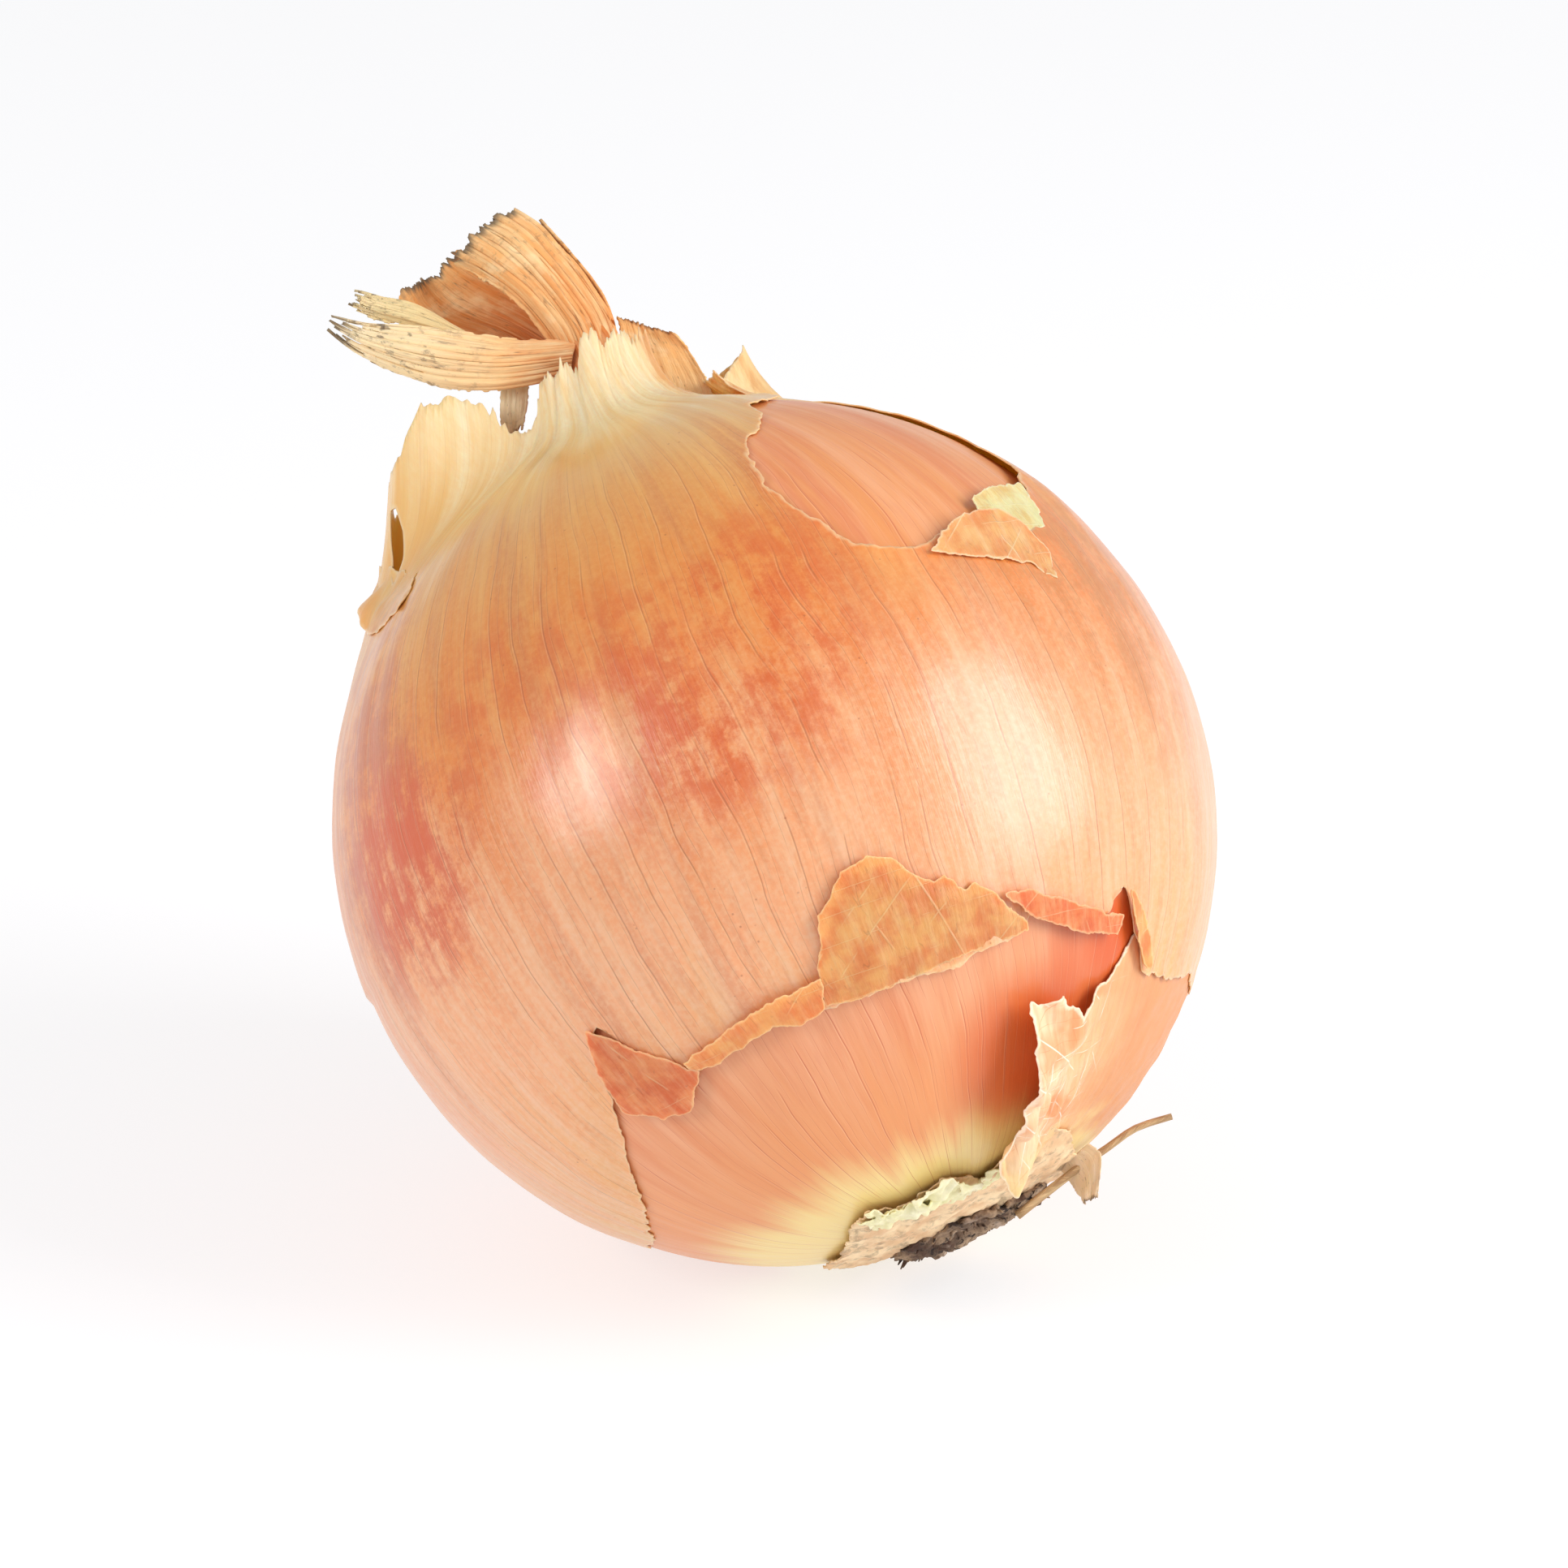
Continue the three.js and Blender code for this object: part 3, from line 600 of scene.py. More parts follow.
def outerSkinFinish():
    look = outerLook
    material, tree, shader = newMaterial("outerSkin")
    places = onionPlaces(tree)
    grain, own, lat = places["grain"], places["own"], places["lat"]
    wander = times(maths("SUBTRACT", cloud(grain, 11, 4), 0.5), 40)
    inputs = {"Value": maths("ADD", lat, wander), "From Min": -70, "From Max": 90}
    height = add("MapRange", inputs).outputs[0]
    tint = colours(height, [
        (0.00, (240, 200, 124)), (0.15, (244, 160, 90)), (0.31, (250, 160, 112)), (0.44, (242, 142, 86)),
        (0.53, (236, 126, 58)), (0.63, (232, 132, 56)), (0.73, (232, 152, 76)), (0.83, (240, 180, 108)),
        (0.92, (251, 219, 168)), (1.00, (255, 236, 196)),
    ])
    pale = blend(stretch(lat, -5, 25), srgb(250, 202, 166), srgb(242, 172, 100))
    streak = stretch(cloud(grain, 17, 5, 0.6), 0.42, 0.74)
    tint = blend(times(streak, 0.4), tint, pale)
    smear = stretch(cloud(vectors("ADD", grain, (2, 0, 1)), 8, 4, 0.6), 0.54, 0.68)
    smear = times(smear, stretch(lat, 44, 66, 0.32, 0.1))
    tint = layer(tint, (190, 98, 62), smear)
    fine = stretch(cloud(grain, 60, 4, 0.65), 0.45, 0.75)
    fine = times(fine, stretch(lat, 44, 66, 0.3, 0.08))
    tint = layer(tint, (202, 104, 52), fine)
    dust = stretch(cloud(own, 70, 4, 0.7), 0.35, 0.7, 0, 0.26)
    tint = blend(dust, tint, pale)
    blot = times(cloud(grain, 14, 5, 0.7), 0.4)
    blot = maths("MULTIPLY_ADD", cloud(own, 10, 8, 0.75), 0.6, blot)
    for lon, lati, size, colour, strength in look["blushes"]:
        spot = patchOf(places, lon, lati, size)
        broken = maths("ADD", blot, times(spot, 0.05))
        spot = times(spot, stretch(broken, 0.47, 0.62))
        tint = layer(tint, look[colour], spot, strength)
    tint = veins(places, tint, look["vein"], 0.65)
    speck = add("TexVoronoi", {"Vector": own, "Scale": 34.0}).outputs["Distance"]
    often = stretch(cloud(own, 11, 2), 0.5, 0.62)
    speck = times(stretch(speck, 0.05, 0.12, 1, 0), often)
    tint = layer(tint, (170, 76, 40), speck, 0.5)
    # painted highlight: the skin turns paler along its torn edges
    edge = rimOf(tree)
    tint = layer(tint, (244, 206, 160), stretch(edge, 0.0, 0.5, 0.55, 0.0))
    rough = (cloud(grain, 20, 3), 0.28, 0.44)
    ridge = times(cloud(own, 30, 4), 0.35)
    ridge = maths("ADD", cloud(grain, 38, 5, 0.65), ridge)
    surface(shader, tint, rough, (ridge, 0.3, 0.0004), (0.3, 0.5, skinReach), coat=0.46)
    return material


outerFinish = outerSkinFinish()
dress(makeOuterSkin(), outerFinish, "outer_skin")


flapLook = {"thickness": 0.12, "least": 0.35, "rag": 0.35, "cell": 0.6, "crease": 0.25}


def makeFlap(name, outline, height, seed, neck=None, **other):
    look = {**flapLook, **other}
    cell = look["cell"]
    lons = [p[0] for p in outline]
    lats = [p[1] for p in outline]
    squeeze = math.cos(math.radians(sum(lats) / len(lats)))
    inside = insideOf(outline, squeeze)

    def keep(lon, lat):
        rag = wobble(lon, lat, seed, (0.35, 1.0), (1.1, 0.7), (3.0, 0.35))
        return inside(lon, lat) + look["rag"] * rag

    def place(lon, lat):
        crease = abs(wobble(lon, lat, seed + 2, (0.16, 1.6), (0.4, 0.5))) - 0.3
        up = max(look["least"], height(lon, lat) + look["crease"] * crease)
        return clearOfFloor(layerPoint(lon, lat, up, neck(lon) if neck else None))

    west, east, south, north = min(lons) - 2, max(lons) + 2, min(lats) - 2, max(lats) + 2
    bm = flatGrid(west, east, south, north, cell / squeeze, cell)
    tear(bm, keep, 0.7)
    wrap(bm, place, keep)
    return pieceFrom(name, bm, look["thickness"])


# outlines of the loose bits at the tears, in degrees
frontFold = [
    (-3, -30), (-0.4, -25), (0.7, -21.7), (3.2, -20.4), (5.7, -17.9), (9.5, -17.4), (12.7, -18.6),
    (14, -21.1), (17.1, -23.2), (18.6, -23), (20.9, -25.7), (22.6, -25.1), (25.3, -27.4),
    (27.5, -30.3), (29.9, -32.2), (29.8, -33.5), (17.9, -33.7), (8.7, -34), (1.8, -33.8),
    (-3.5, -33.2),
]
lowStrip = [
    (-2.5, -29.2), (-8.3, -29.2), (-11.4, -29.4), (-14.9, -29.6), (-19.3, -30.4), (-23.3, -31),
    (-26, -31.4), (-25.5, -33), (-21.6, -33.6), (-16.8, -33), (-12.6, -32.4), (-9.5, -33),
    (-7.8, -33.8), (-3.5, -33.2),
]
cornerFold = [(-36, -21.5), (-25, -33.4), (-31, -37.8), (-36, -36.4), (-40.5, -33.4), (-39, -27)]
rightCurl = [
    (27, -28), (30, -28), (37, -31), (45, -34), (48.5, -34.6), (47, -37), (39, -35.4), (30, -31.6),
]
rightSliver = [(49, -31), (51, -32), (56, -38.5), (57.6, -42.4), (55.4, -42), (52.4, -38.6)]
upperFold = [
    (35.4, 16.6), (38.6, 18.6), (43.7, 20.6), (50.5, 20.4), (53.5, 17.7), (55.5, 13), (54, 9.6),
    (50.5, 12), (45.9, 13.4), (41, 14.6),
]
upperChip = [
    (47.5, 20.4), (48.4, 23.2), (52.2, 24.2), (57, 24.8), (62.5, 25), (61.5, 20.5), (59.5, 17.4),
    (55.5, 17.2), (52.5, 18.6),
]
collarLobe = [
    (-97, 58), (-92, 54), (-89, 52.4), (-80, 48.8), (-66, 47.6), (-57, 48), (-56, 51), (-62, 56),
    (-78, 58),
]
flapSkins = {  # plain, deep and pale
    "foldSkin": ((240, 152, 84), (228, 118, 60), (255, 206, 150)),
    "redFold": ((236, 128, 74), (216, 92, 42), (252, 198, 150)),
    "paleFold": ((242, 164, 100), (230, 132, 72), (255, 222, 180)),
    "creamFold": ((240, 214, 150), (228, 178, 108), (252, 240, 196)),
}


def creases(place):
    # thin straight folds in a few directions, each shown in some places only
    total = 0.0
    for i, (a, b, often) in enumerate(((0.05, 1, 0.3), (0.5, -0.8, 0.16), (0.9, 0.3, 0.13))):
        turn = times(vectors("DOT_PRODUCT", place, (a, b, 0)), often)
        line = evenLines(turn, 0.006, 0.024)
        shown = cloud(vectors("ADD", place, (9 * i, 5, 3)), 0.16, 2)
        shown = stretch(shown, 0.46, 0.58)
        total = maths("MAXIMUM", total, times(line, shown))
    return total


def flapFinish(name, base, deep, pale):
    # a thin single skin: streaked, with pale creases, a painted highlight along its torn edges and a few
    # short dark cracks
    material, tree, shader = newMaterial(name)
    place = placeOf(tree)
    along = vectors("MULTIPLY", place, (0.5, 0.09, 0))
    patch = vectors("MULTIPLY", place, (0.16, 0.2, 0))
    shade = stretch(cloud(patch, 1.3, 4, 0.6), 0.35, 0.65)
    tint = blend(shade, srgb(*base), srgb(*deep))
    streak = stretch(cloud(along, 1.6, 5, 0.65), 0.42, 0.7)
    tint = layer(tint, pale, streak, 0.22)
    crack = stretch(cloud(patch, 2.4, 2), 0.5, 0.6)
    crack = times(lines(along, 1.1, 0.016), crack)
    tint = layer(tint, (138, 62, 30), crack, 0.3)
    crease = creases(place)
    tint = layer(tint, pale, crease, 0.3)
    # painted highlight: paler along the torn edges
    rim = rimOf(tree)
    tint = layer(tint, pale, stretch(rim, 0.02, 0.35, 0.5, 0.0))
    rough = (cloud(patch, 3, 3), 0.28, 0.5)
    ridge = maths("ADD", cloud(along, 3, 5, 0.6), times(crease, 0.4))
    surface(shader, tint, rough, (ridge, 0.4, 0.0004), (0.4, 0.5, skinReach))
    return material


def lobeHeight(lon, lat):
    # comes out of the skin above and stands away at its point
    free = smoothStep(57, 51, lat)
    return 0.5 + 0.35 * free + 0.9 * free * math.exp(-(((lon + 89) / 6) ** 2))


flapFinishes = {name: flapFinish(name, *skin) for name, skin in flapSkins.items()}
flapFinishes["outerSkin"] = outerFinish
flapParts = [  # name, outline, height in mm, noise seed, finish
    ("frontFold", frontFold, lambda lon, lat: 0.85 + 0.03 * max(0, lat + 34), 3, "foldSkin"),
    ("lowStrip", lowStrip, lambda lon, lat: 1.0 + 0.1 * (lat + 34), 8, "foldSkin"),
    ("cornerFold", cornerFold, lambda lon, lat: 1.1, 12, "redFold"),
    ("rightCurl", rightCurl, lambda lon, lat: 1.3, 15, "redFold"),
    ("rightSliver", rightSliver, lambda lon, lat: 1.4, 18, "foldSkin"),
    ("upperFold", upperFold, lambda lon, lat: 0.6 + 0.12 * max(0, lat - 11), 21, "paleFold"),
    ("upperChip", upperChip, lambda lon, lat: 0.75 + 0.07 * max(0, lat - 17), 25, "creamFold"),
    ("collarLobe", collarLobe, lobeHeight, 27, "outerSkin"),
]
for name, outline, height, seed, finish in flapParts:
    neck = collarRadius if name == "collarLobe" else None
    flap = makeFlap(name, outline, height, seed, neck)
    dress(flap, flapFinishes[finish], "outer_skin")


# the second skin at the lower right, crumpled at its torn end
lowerSkinOutline = [
    (27.5, -41.6), (30.5, -43), (34.5, -42.2), (35.2, -44.2), (38.1, -44.8), (39.4, -46.6),
    (41.5, -44.8), (44, -43.4), (47.5, -43.2), (50.5, -41.2), (53, -38), (60, -36), (80, -37),
    (112, -37), (140, -40), (146, -56), (140, -65), (120, -70), (90, -71.5), (60, -71.5), (35, -71),
    (24, -69.5), (21, -66.5), (20.2, -62), (23.2, -58.5), (25.1, -54.1), (26.4, -50.4),
    (27.8, -46.9),
]
lowerSkinLook = {"rag": 0.4, "cell": 0.8, "crease": 0.15}


def lowerSkinHeight(lon, lat):
    free = max(0.0, min(1.0, (50 - lon) / 22))
    folds = 1.4 * abs(wobble(lon, lat, 31, (0.09, 2.2))) + abs(wobble(lon, lat, 33, (0.17, 2.0)))
    return 0.42 + free * (1.3 + folds)


def lowerSkinFinish():
    # pale and crinkled where it hangs free, peach with fibres further in, yellow at the root
    material, tree, shader = newMaterial("lowerSkin")
    places = onionPlaces(tree)
    grain, own, lat, lon = places["grain"], places["own"], places["lat"], places["lon"]
    wander = maths("SUBTRACT", cloud(own, 9, 4), 0.5)
    side = maths("ADD", lon, times(wander, 22))
    tint = colours(stretch(side, 24, 66), [
        (0.0, (252, 208, 166)), (0.5, (244, 178, 126)), (1.0, (224, 148, 96)),
    ])
    fine = stretch(cloud(grain, 48, 4, 0.65), 0.42, 0.72)
    tint = layer(tint, (214, 130, 88), fine, 0.35)
    free = stretch(lon, 42, 56, 1, 0)
    stain = times(stretch(cloud(own, 8, 3), 0.48, 0.64), free)
    tint = layer(tint, (230, 132, 72), stain, 0.6)
    place = placeOf(tree)
    # painted shade: darker orange lines in the folds where the skin hangs free
    crease = times(creases(vectors("MULTIPLY", place, (1.6, 1.6, 0))), free)
    tint = layer(tint, (214, 116, 60), crease, 0.45)
    # painted highlight: near white lines along the folds where the skin hangs free
    crinkleHighlight = times(creases(vectors("MULTIPLY", place, (1.1, -1.1, 0))), free)
    tint = layer(tint, (255, 240, 220), crinkleHighlight, 0.8)
    low = maths("ADD", lat, times(wander, 14))
    tint = layer(tint, (240, 206, 140), stretch(low, -70, -63, 0.9, 0))
    tint = veins(places, tint, (186, 104, 66), 0.3)
    # painted highlight: paler along the torn edge
    rim = rimOf(tree)
    tint = layer(tint, (255, 232, 204), stretch(rim, 0.05, 0.5, 0.7, 0.0))
    rough = (cloud(own, 20, 3), 0.34, 0.55)
    relief = (cloud(grain, 40, 5, 0.65), 0.3, 0.0004)
    surface(shader, tint, rough, relief, (0.15, 0.5, skinReach))
    return material


lowerSkin = makeFlap("lowerSkin", lowerSkinOutline, lowerSkinHeight, 30, **lowerSkinLook)
dress(lowerSkin, lowerSkinFinish(), "lower_skin")


def smoothLine(points, share):
    # a smooth line through the points, read at a share of its length in points
    at = max(0.0, min(0.99999, share)) * (len(points) - 1)
    i = int(at)
    t = at - i
    p0, p1, p2, p3 = [Vector(points[max(0, min(len(points) - 1, i + k))]) for k in (-1, 0, 1, 2)]
    square = 2 * p0 - 5 * p1 + 4 * p2 - p3
    cube = 3 * p1 - p0 - 3 * p2 + p3
    return 0.5 * (2 * p1 + (p2 - p0) * t + square * t * t + cube * t ** 3)


# each leaf lies between its two sides, given in mm from the foot to the tip; bow and tip are how
# far its middle stands out and up, rag and fray how torn its sides and tip are
leaves = {
    "fan": {
        "left": [
            (1.4, -1.2, 46.4), (1.6, -0.9, 50), (1.8, -2.3, 55.2), (1.2, -4.4, 58.8),
            (0.4, -6.4, 61.6),
        ],
        "right": [
            (0.8, 4.4, 46), (0.8, 5, 50.5), (0.6, 4.5, 54.4), (0.2, 3.6, 58.3), (0, 2.8, 61.4),
            (-0.2, 0.9, 64.2),
        ],
        "bow": 1.5, "tip": 0.7, "ridge": 0.34, "fray": 0.035, "rag": 0.01, "thickness": 0.5,
        "seed": 40, "wide": 70, "long": 90,
    },
    "fanBack": {
        "left": [
            (0.2, -0.6, 46.4), (0.2, 0.4, 50), (-0.4, -1.2, 55.2), (-1.2, -3.2, 59.2),
            (-2, -5, 62),
        ],
        "right": [
            (-0.6, 4.2, 46), (-0.6, 5.2, 50.5), (-0.8, 5.2, 54), (-1.4, 4.2, 58.3), (-2, 2.8, 63),
        ],
        "bow": -1.0, "tip": 1.3, "ridge": 0.3, "fray": 0.06, "rag": 0.012, "thickness": 0.3,
        "seed": 44, "wide": 50, "long": 70,
    },
    "cup": {
        "left": [(0.4, -1.5, 48), (0, -6.6, 52.8), (-0.6, -11, 57.2), (-0.8, -12.5, 61.4)],
        "right": [(-0.4, 2.6, 49), (-0.4, 1, 55), (-0.6, -2.4, 60), (-1.0, -5, 63.4)],
        "bow": -2.6, "tip": 0.5, "ridge": 0.14, "fray": 0.05, "rag": 0.02, "thickness": 0.22,
        "seed": 50, "cup": 0.8, "wide": 60, "long": 80,
    },
    "strap": {
        "left": [
            (2.2, -0.5, 46.6), (3, -4.9, 47.2), (3.2, -8.5, 48.3), (3, -12.5, 50.7),
            (2.2, -17.4, 56.0), (1.4, -20, 60.9),
        ],
        "right": [
            (2, 1.5, 49.6), (2.4, -3.6, 51.8), (2.8, -6.3, 53.4), (2.8, -11.5, 56.6),
            (2.2, -15.6, 58.9), (1.6, -18.6, 61.4),
        ],
        "bow": 1.3, "ridge": 0.26, "fray": 0.16, "rag": 0.03, "thickness": 0.3,
        "seed": 60, "wide": 56, "long": 110,
    },
    "strapSplit": {
        "left": [(1.6, -6.8, 52.6), (1.8, -12, 56.8), (1.6, -15.2, 59.4), (1.2, -17, 61.4)],
        "right": [(1, -8.2, 55.2), (0.6, -10.8, 59), (0.4, -13.6, 61.4), (0.4, -15.9, 63.2)],
        "bow": 1.0, "ridge": 0.2, "fray": 0.18, "rag": 0.03, "thickness": 0.24,
        "seed": 70, "wide": 40, "long": 60,
    },
    "backLeaf": {
        "left": [(-1.2, 4.4, 43.4), (-1.6, 5, 47.7), (-1.8, 5.7, 51.3)],
        "right": [(-2, 11, 40), (-2.4, 11, 42.6), (-2.6, 10.6, 45.4), (-2.4, 10, 47.7)],
        "bow": -0.7, "tip": 0.1, "ridge": 0.14, "fray": 0.04, "rag": 0.015, "thickness": 0.22,
        "seed": 80, "cup": 0.2, "wide": 40, "long": 50,
    },
    "gapBit": {
        "left": [(1.6, -6.6, 49), (1, -8, 46.2), (1, -8.6, 43.6)],
        "right": [(1.6, -4, 48.2), (1, -5, 46.4), (1, -6.6, 44)],
        "bow": 0.4, "ridge": 0.12, "fray": 0.1, "rag": 0.04, "thickness": 0.2,
        "seed": 76, "wide": 20, "long": 24,
    },
}


def makeLeaf(name, look):
    look = {"tip": 0, "cup": 0, **look}
    seed = look["seed"]

    def middle(u, v):
        point = smoothLine(look["left"], v).lerp(smoothLine(look["right"], v), u)
        arch = math.sin(math.pi * u)
        point.x += look["bow"] * arch
        point.z += look["tip"] * arch * v ** 3
        return point

    def place(u, v):
        u, v = max(0.0, min(1.0, u)), max(0.0, min(1.0, v))
        step = 0.01
        over = middle(min(1, u + step), v) - middle(max(0, u - step), v)
        along = middle(u, min(1, v + step)) - middle(u, max(0, v - step))
        normal = over.cross(along).normalized()
        ridge = wobble(u * 18, v * 1.2, seed, (1.0, 1.0), (2.3, 0.5)) * look["ridge"]
        ridge += 0.5 * wobble(u * 3, v * 3, seed + 1, (1.0, 1.0)) * v
        curl = look["cup"] * smoothStep(0.8, 1.0, v) * math.sin(u * 9 + seed)
        return middle(u, v) + normal * (ridge + curl)

    def keep(u, v):
        rag = 1 + wobble(u * 4, v * 14, seed + 3, (1.0, 1.0), (3.0, 0.7))
        fray = 1 + 1.4 * wobble(u * 22, v * 2, seed + 5, (1.0, 1.0), (2.6, 0.6))
        return min(min(u, 1 - u) - look["rag"] * rag, 1 - v - look["fray"] * fray)

    bm = flatGrid(0, 1, 0, 1, 1 / look["wide"], 1 / look["long"])
    tear(bm, keep, 0.03, 1)
    wrap(bm, place, lambda u, v: keep(u, v) * 10)
    return pieceFrom(name, bm, look["thickness"])


def dryLeafFinish(name, stops, mould=0.0, end=(146, 122, 92), fibres=0.5):
    # stops are the colours from foot to tip, mould is how much of it shows, end is the torn tip
    material, tree, shader = newMaterial(name)
    place = placeOf(tree)
    split = add("SeparateXYZ", {0: place})
    u, v = split.outputs[0], split.outputs[1]
    fibre = add("CombineXYZ", {0: times(u, 9), 1: times(v, 0.9)}).outputs[0]
    patch = add("CombineXYZ", {0: times(u, 3), 1: times(v, 5)}).outputs[0]
    wander = times(maths("SUBTRACT", cloud(patch, 1.5, 4), 0.5), 0.35)
    tint = colours(maths("ADD", v, wander), stops)
    streak = stretch(cloud(fibre, 2.4, 5, 0.65), 0.38, 0.66)
    tint = layer(tint, (254, 222, 166), streak, fibres)
    dark = stretch(cloud(fibre, 3.4, 5, 0.7), 0.52, 0.72)
    tint = layer(tint, (176, 98, 44), dark, fibres * 0.8)
    bare = stretch(cloud(patch, 1.2, 3), 0.45, 0.62)
    crack = times(lines(fibre, 1.6, 0.014, 2), bare)
    tint = layer(tint, (92, 50, 26), crack, 0.6)
    pale = stretch(cloud(vectors("ADD", patch, (4, 2, 0)), 1.0, 4), 0.5, 0.7)
    tint = layer(tint, (255, 226, 178), pale, 0.4)
    spots = stretch(cloud(patch, 2.6, 6, 0.7), 0.52, 0.64)
    spots = times(spots, stretch(v, 0.25, 0.75))
    tint = layer(tint, (96, 84, 70), spots, mould)
    rim = rimOf(tree)
    ragged = maths("ADD", rim, times(cloud(fibre, 3, 4), -0.5))
    inner = stretch(maths("ABSOLUTE", maths("SUBTRACT", u, 0.5)), 0.42, 0.48, 1, 0)
    tip = times(stretch(ragged, -0.2, 0.45, 1, 0), stretch(v, 0.8, 0.92))
    tip = times(tip, inner)
    worn = blend(cloud(fibre, 4, 4), srgb(*end), srgb(92, 76, 56))
    tint = blend(tip, tint, worn)
    rough = (cloud(fibre, 2, 3), 0.6, 0.85)
    relief = (cloud(fibre, 4, 6, 0.7), 0.6, 0.0004)
    surface(shader, tint, rough, relief, (0.08, 0.4, skinReach))
    return material


fanStops = [(0, (220, 138, 70)), (0.4, (234, 156, 86)), (0.75, (238, 172, 104)), (1, (216, 166, 110))]
cupStops = [(0, (186, 92, 34)), (0.4, (212, 122, 54)), (0.8, (230, 150, 78)), (1, (236, 172, 102))]
strapStops = [(0, (240, 156, 92)), (0.3, (250, 196, 136)), (0.7, (255, 228, 182)), (1, (240, 222, 190))]
# partly painted light: the back leaf's colours are paler than its own, to make up for the shade it
# stands in
backStopsPaintedLight = [(0, (252, 216, 158)), (0.4, (248, 190, 122)), (1, (240, 170, 100))]
splitStops = [(0, (236, 200, 140)), (0.5, (244, 218, 162)), (1, (228, 206, 160))]
# painted light: the bit in the gap is made paler to make up for the shade under the strap
gapStopsPaintedLight = [(0, (255, 240, 206)), (1, (250, 220, 176))]
leafFinishes = {
    "fan": dryLeafFinish("fanLeaf", fanStops, 0.3),
    "cup": dryLeafFinish("cupLeaf", cupStops, 0.2, fibres=0.3),
    "strap": dryLeafFinish("strapLeaf", strapStops, 0.8),
    "backLeaf": dryLeafFinish("backLeaf", backStopsPaintedLight, 0.15, (198, 132, 76), 0.2),
    "strapSplit": dryLeafFinish("splitLeaf", splitStops, 0.8),
    "gapBit": dryLeafFinish("gapLeaf", gapStopsPaintedLight, 0.2, (198, 140, 86), 0.15),
}
leafFinishes["fanBack"] = leafFinishes["fan"]
for name, look in leaves.items():
    dress(makeLeaf(name, look), leafFinishes[name], "neck")


# the pinched stalk inside the collar
stalkLook = {
    "outline": [(0.4, 44.1), (3.3, 44.1), (3.4, 46), (3.0, 49), (2.2, 52), (0.3, 53.5)],
    "foot": 44,
    "leafLength": 14,  # it shows the foot end of the leaf's colours
    "lean": 0.22,
    "off": 0.7,
    "swell": 0.09,
    "sides": 48,
}


def makeStalk():
    look, foot = stalkLook, stalkLook["foot"]
    bm = bmesh.new()
    points = [bm.verts.new((r, 0, z)) for r, z in look["outline"]]
    edges = [bm.edges.new(pair) for pair in zip(points, points[1:])]
    turned = {"axis": (0, 0, 1), "cent": (0, 0, 0), "angle": math.tau, "steps": look["sides"]}
    bmesh.ops.spin(bm, geom=points + edges, use_merge=True, **turned)
    bmesh.ops.holes_fill(bm, edges=[e for e in bm.edges if e.is_boundary], sides=0)
    bmesh.ops.subdivide_edges(bm, edges=bm.edges[:], cuts=1, use_grid_fill=True)
    for vert in bm.verts:
        turn = math.atan2(vert.co.y, vert.co.x)
        lump = Vector((math.cos(turn) * 4, math.sin(turn) * 4, vert.co.z * 0.12))
        swell = 1 + look["swell"] * noise.noise(lump)
        vert.co.x *= swell
        vert.co.y = vert.co.y * swell + look["off"] + look["lean"] * (vert.co.z - foot)
    bmesh.ops.recalc_face_normals(bm, faces=bm.faces)
    length = look["leafLength"]
    mapPlaces(bm, lambda co: (math.atan2(co.y, co.x) / math.pi, (co.z - foot) / length))
    return pieceFrom("stalk", bm)


dress(makeStalk(), leafFinishes["cup"], "neck")


def nearRoot(height):
    # a flat sheet in mm round the root end goes on to the globe
    def place(x, y):
        depth = math.sqrt(max(1, onion["radius"] ** 2 - x * x - y * y))
        way = Vector((x, y, -depth)).normalized()
        return clearOfFloor(way * layerRadius(way, max(0.3, height(x, y)), 0))
    return place


rootLook = {
    "centre": (-4.5, 1.8),
    "radius": 7.4,
    "bare": 6.4,  # the old skin ends this far from the centre
    "grid": 9,  # half the width of the sheet it is cut from
    "cell": 0.22,
    "thickness": 0.5,
    "stubs": 64,
    "stubTurn": 2.39996,  # each stub stands this far round from the last, in radians
}
# the band of old skin round the root plate and its flakes, in mm round the root end
basalOutline = [
    (5.9, -9.4), (9.1, -8.5), (12.4, -7.4), (14.2, -5.9), (13.4, -4), (13.2, -2.9), (13.6, -1.8),
    (14.2, -0.5), (14.6, 1.6), (13.8, 2.5), (12.8, 3.6), (11.4, 4.2), (12.1, 5.2), (12.8, 6.5),
    (12.6, 7.8), (13.6, 9.1), (12.8, 11.4), (9, 13), (0, 12.4), (-6.2, 11.2), (-12.4, 6.9),
    (-14.2, 0), (-12, -6.5), (-6.2, -10.8), (0, -11.7),
]
basalFlakes = {
    "flakeLeft": [(14.8, -6.2), (13.7, -3), (12.8, -2), (12.2, -3.4), (12.7, -5.6)],
    "flakeBroad": [
        (14.4, -2.0), (15.2, -0.5), (15.8, 1.6), (14.4, 2.4), (12.8, 2.4), (11.4, 1.2),
        (11.6, -0.8), (12.6, -1.8),
    ],
    "flakeBright": [(14.3, 2.3), (12.8, 3.9), (11.2, 4.2), (11.6, 2.8), (13, 2.2)],
    "flakeRight": [
        (11.2, 3.8), (12.3, 4.9), (13, 6.6), (12.9, 8.4), (11.4, 7.6), (10.2, 5.4), (10.2, 3.6),
    ],
    "flakeUnder": [(13.2, -7.2), (14.0, -4), (13.2, 0), (11.6, 3.4), (10.6, 2), (10.9, -2), (11, -6)],
}


basalLook = {"thickness": 0.14, "rag": 0.3, "cell": 0.4, "flakeCell": 0.25, "margin": 0.8}


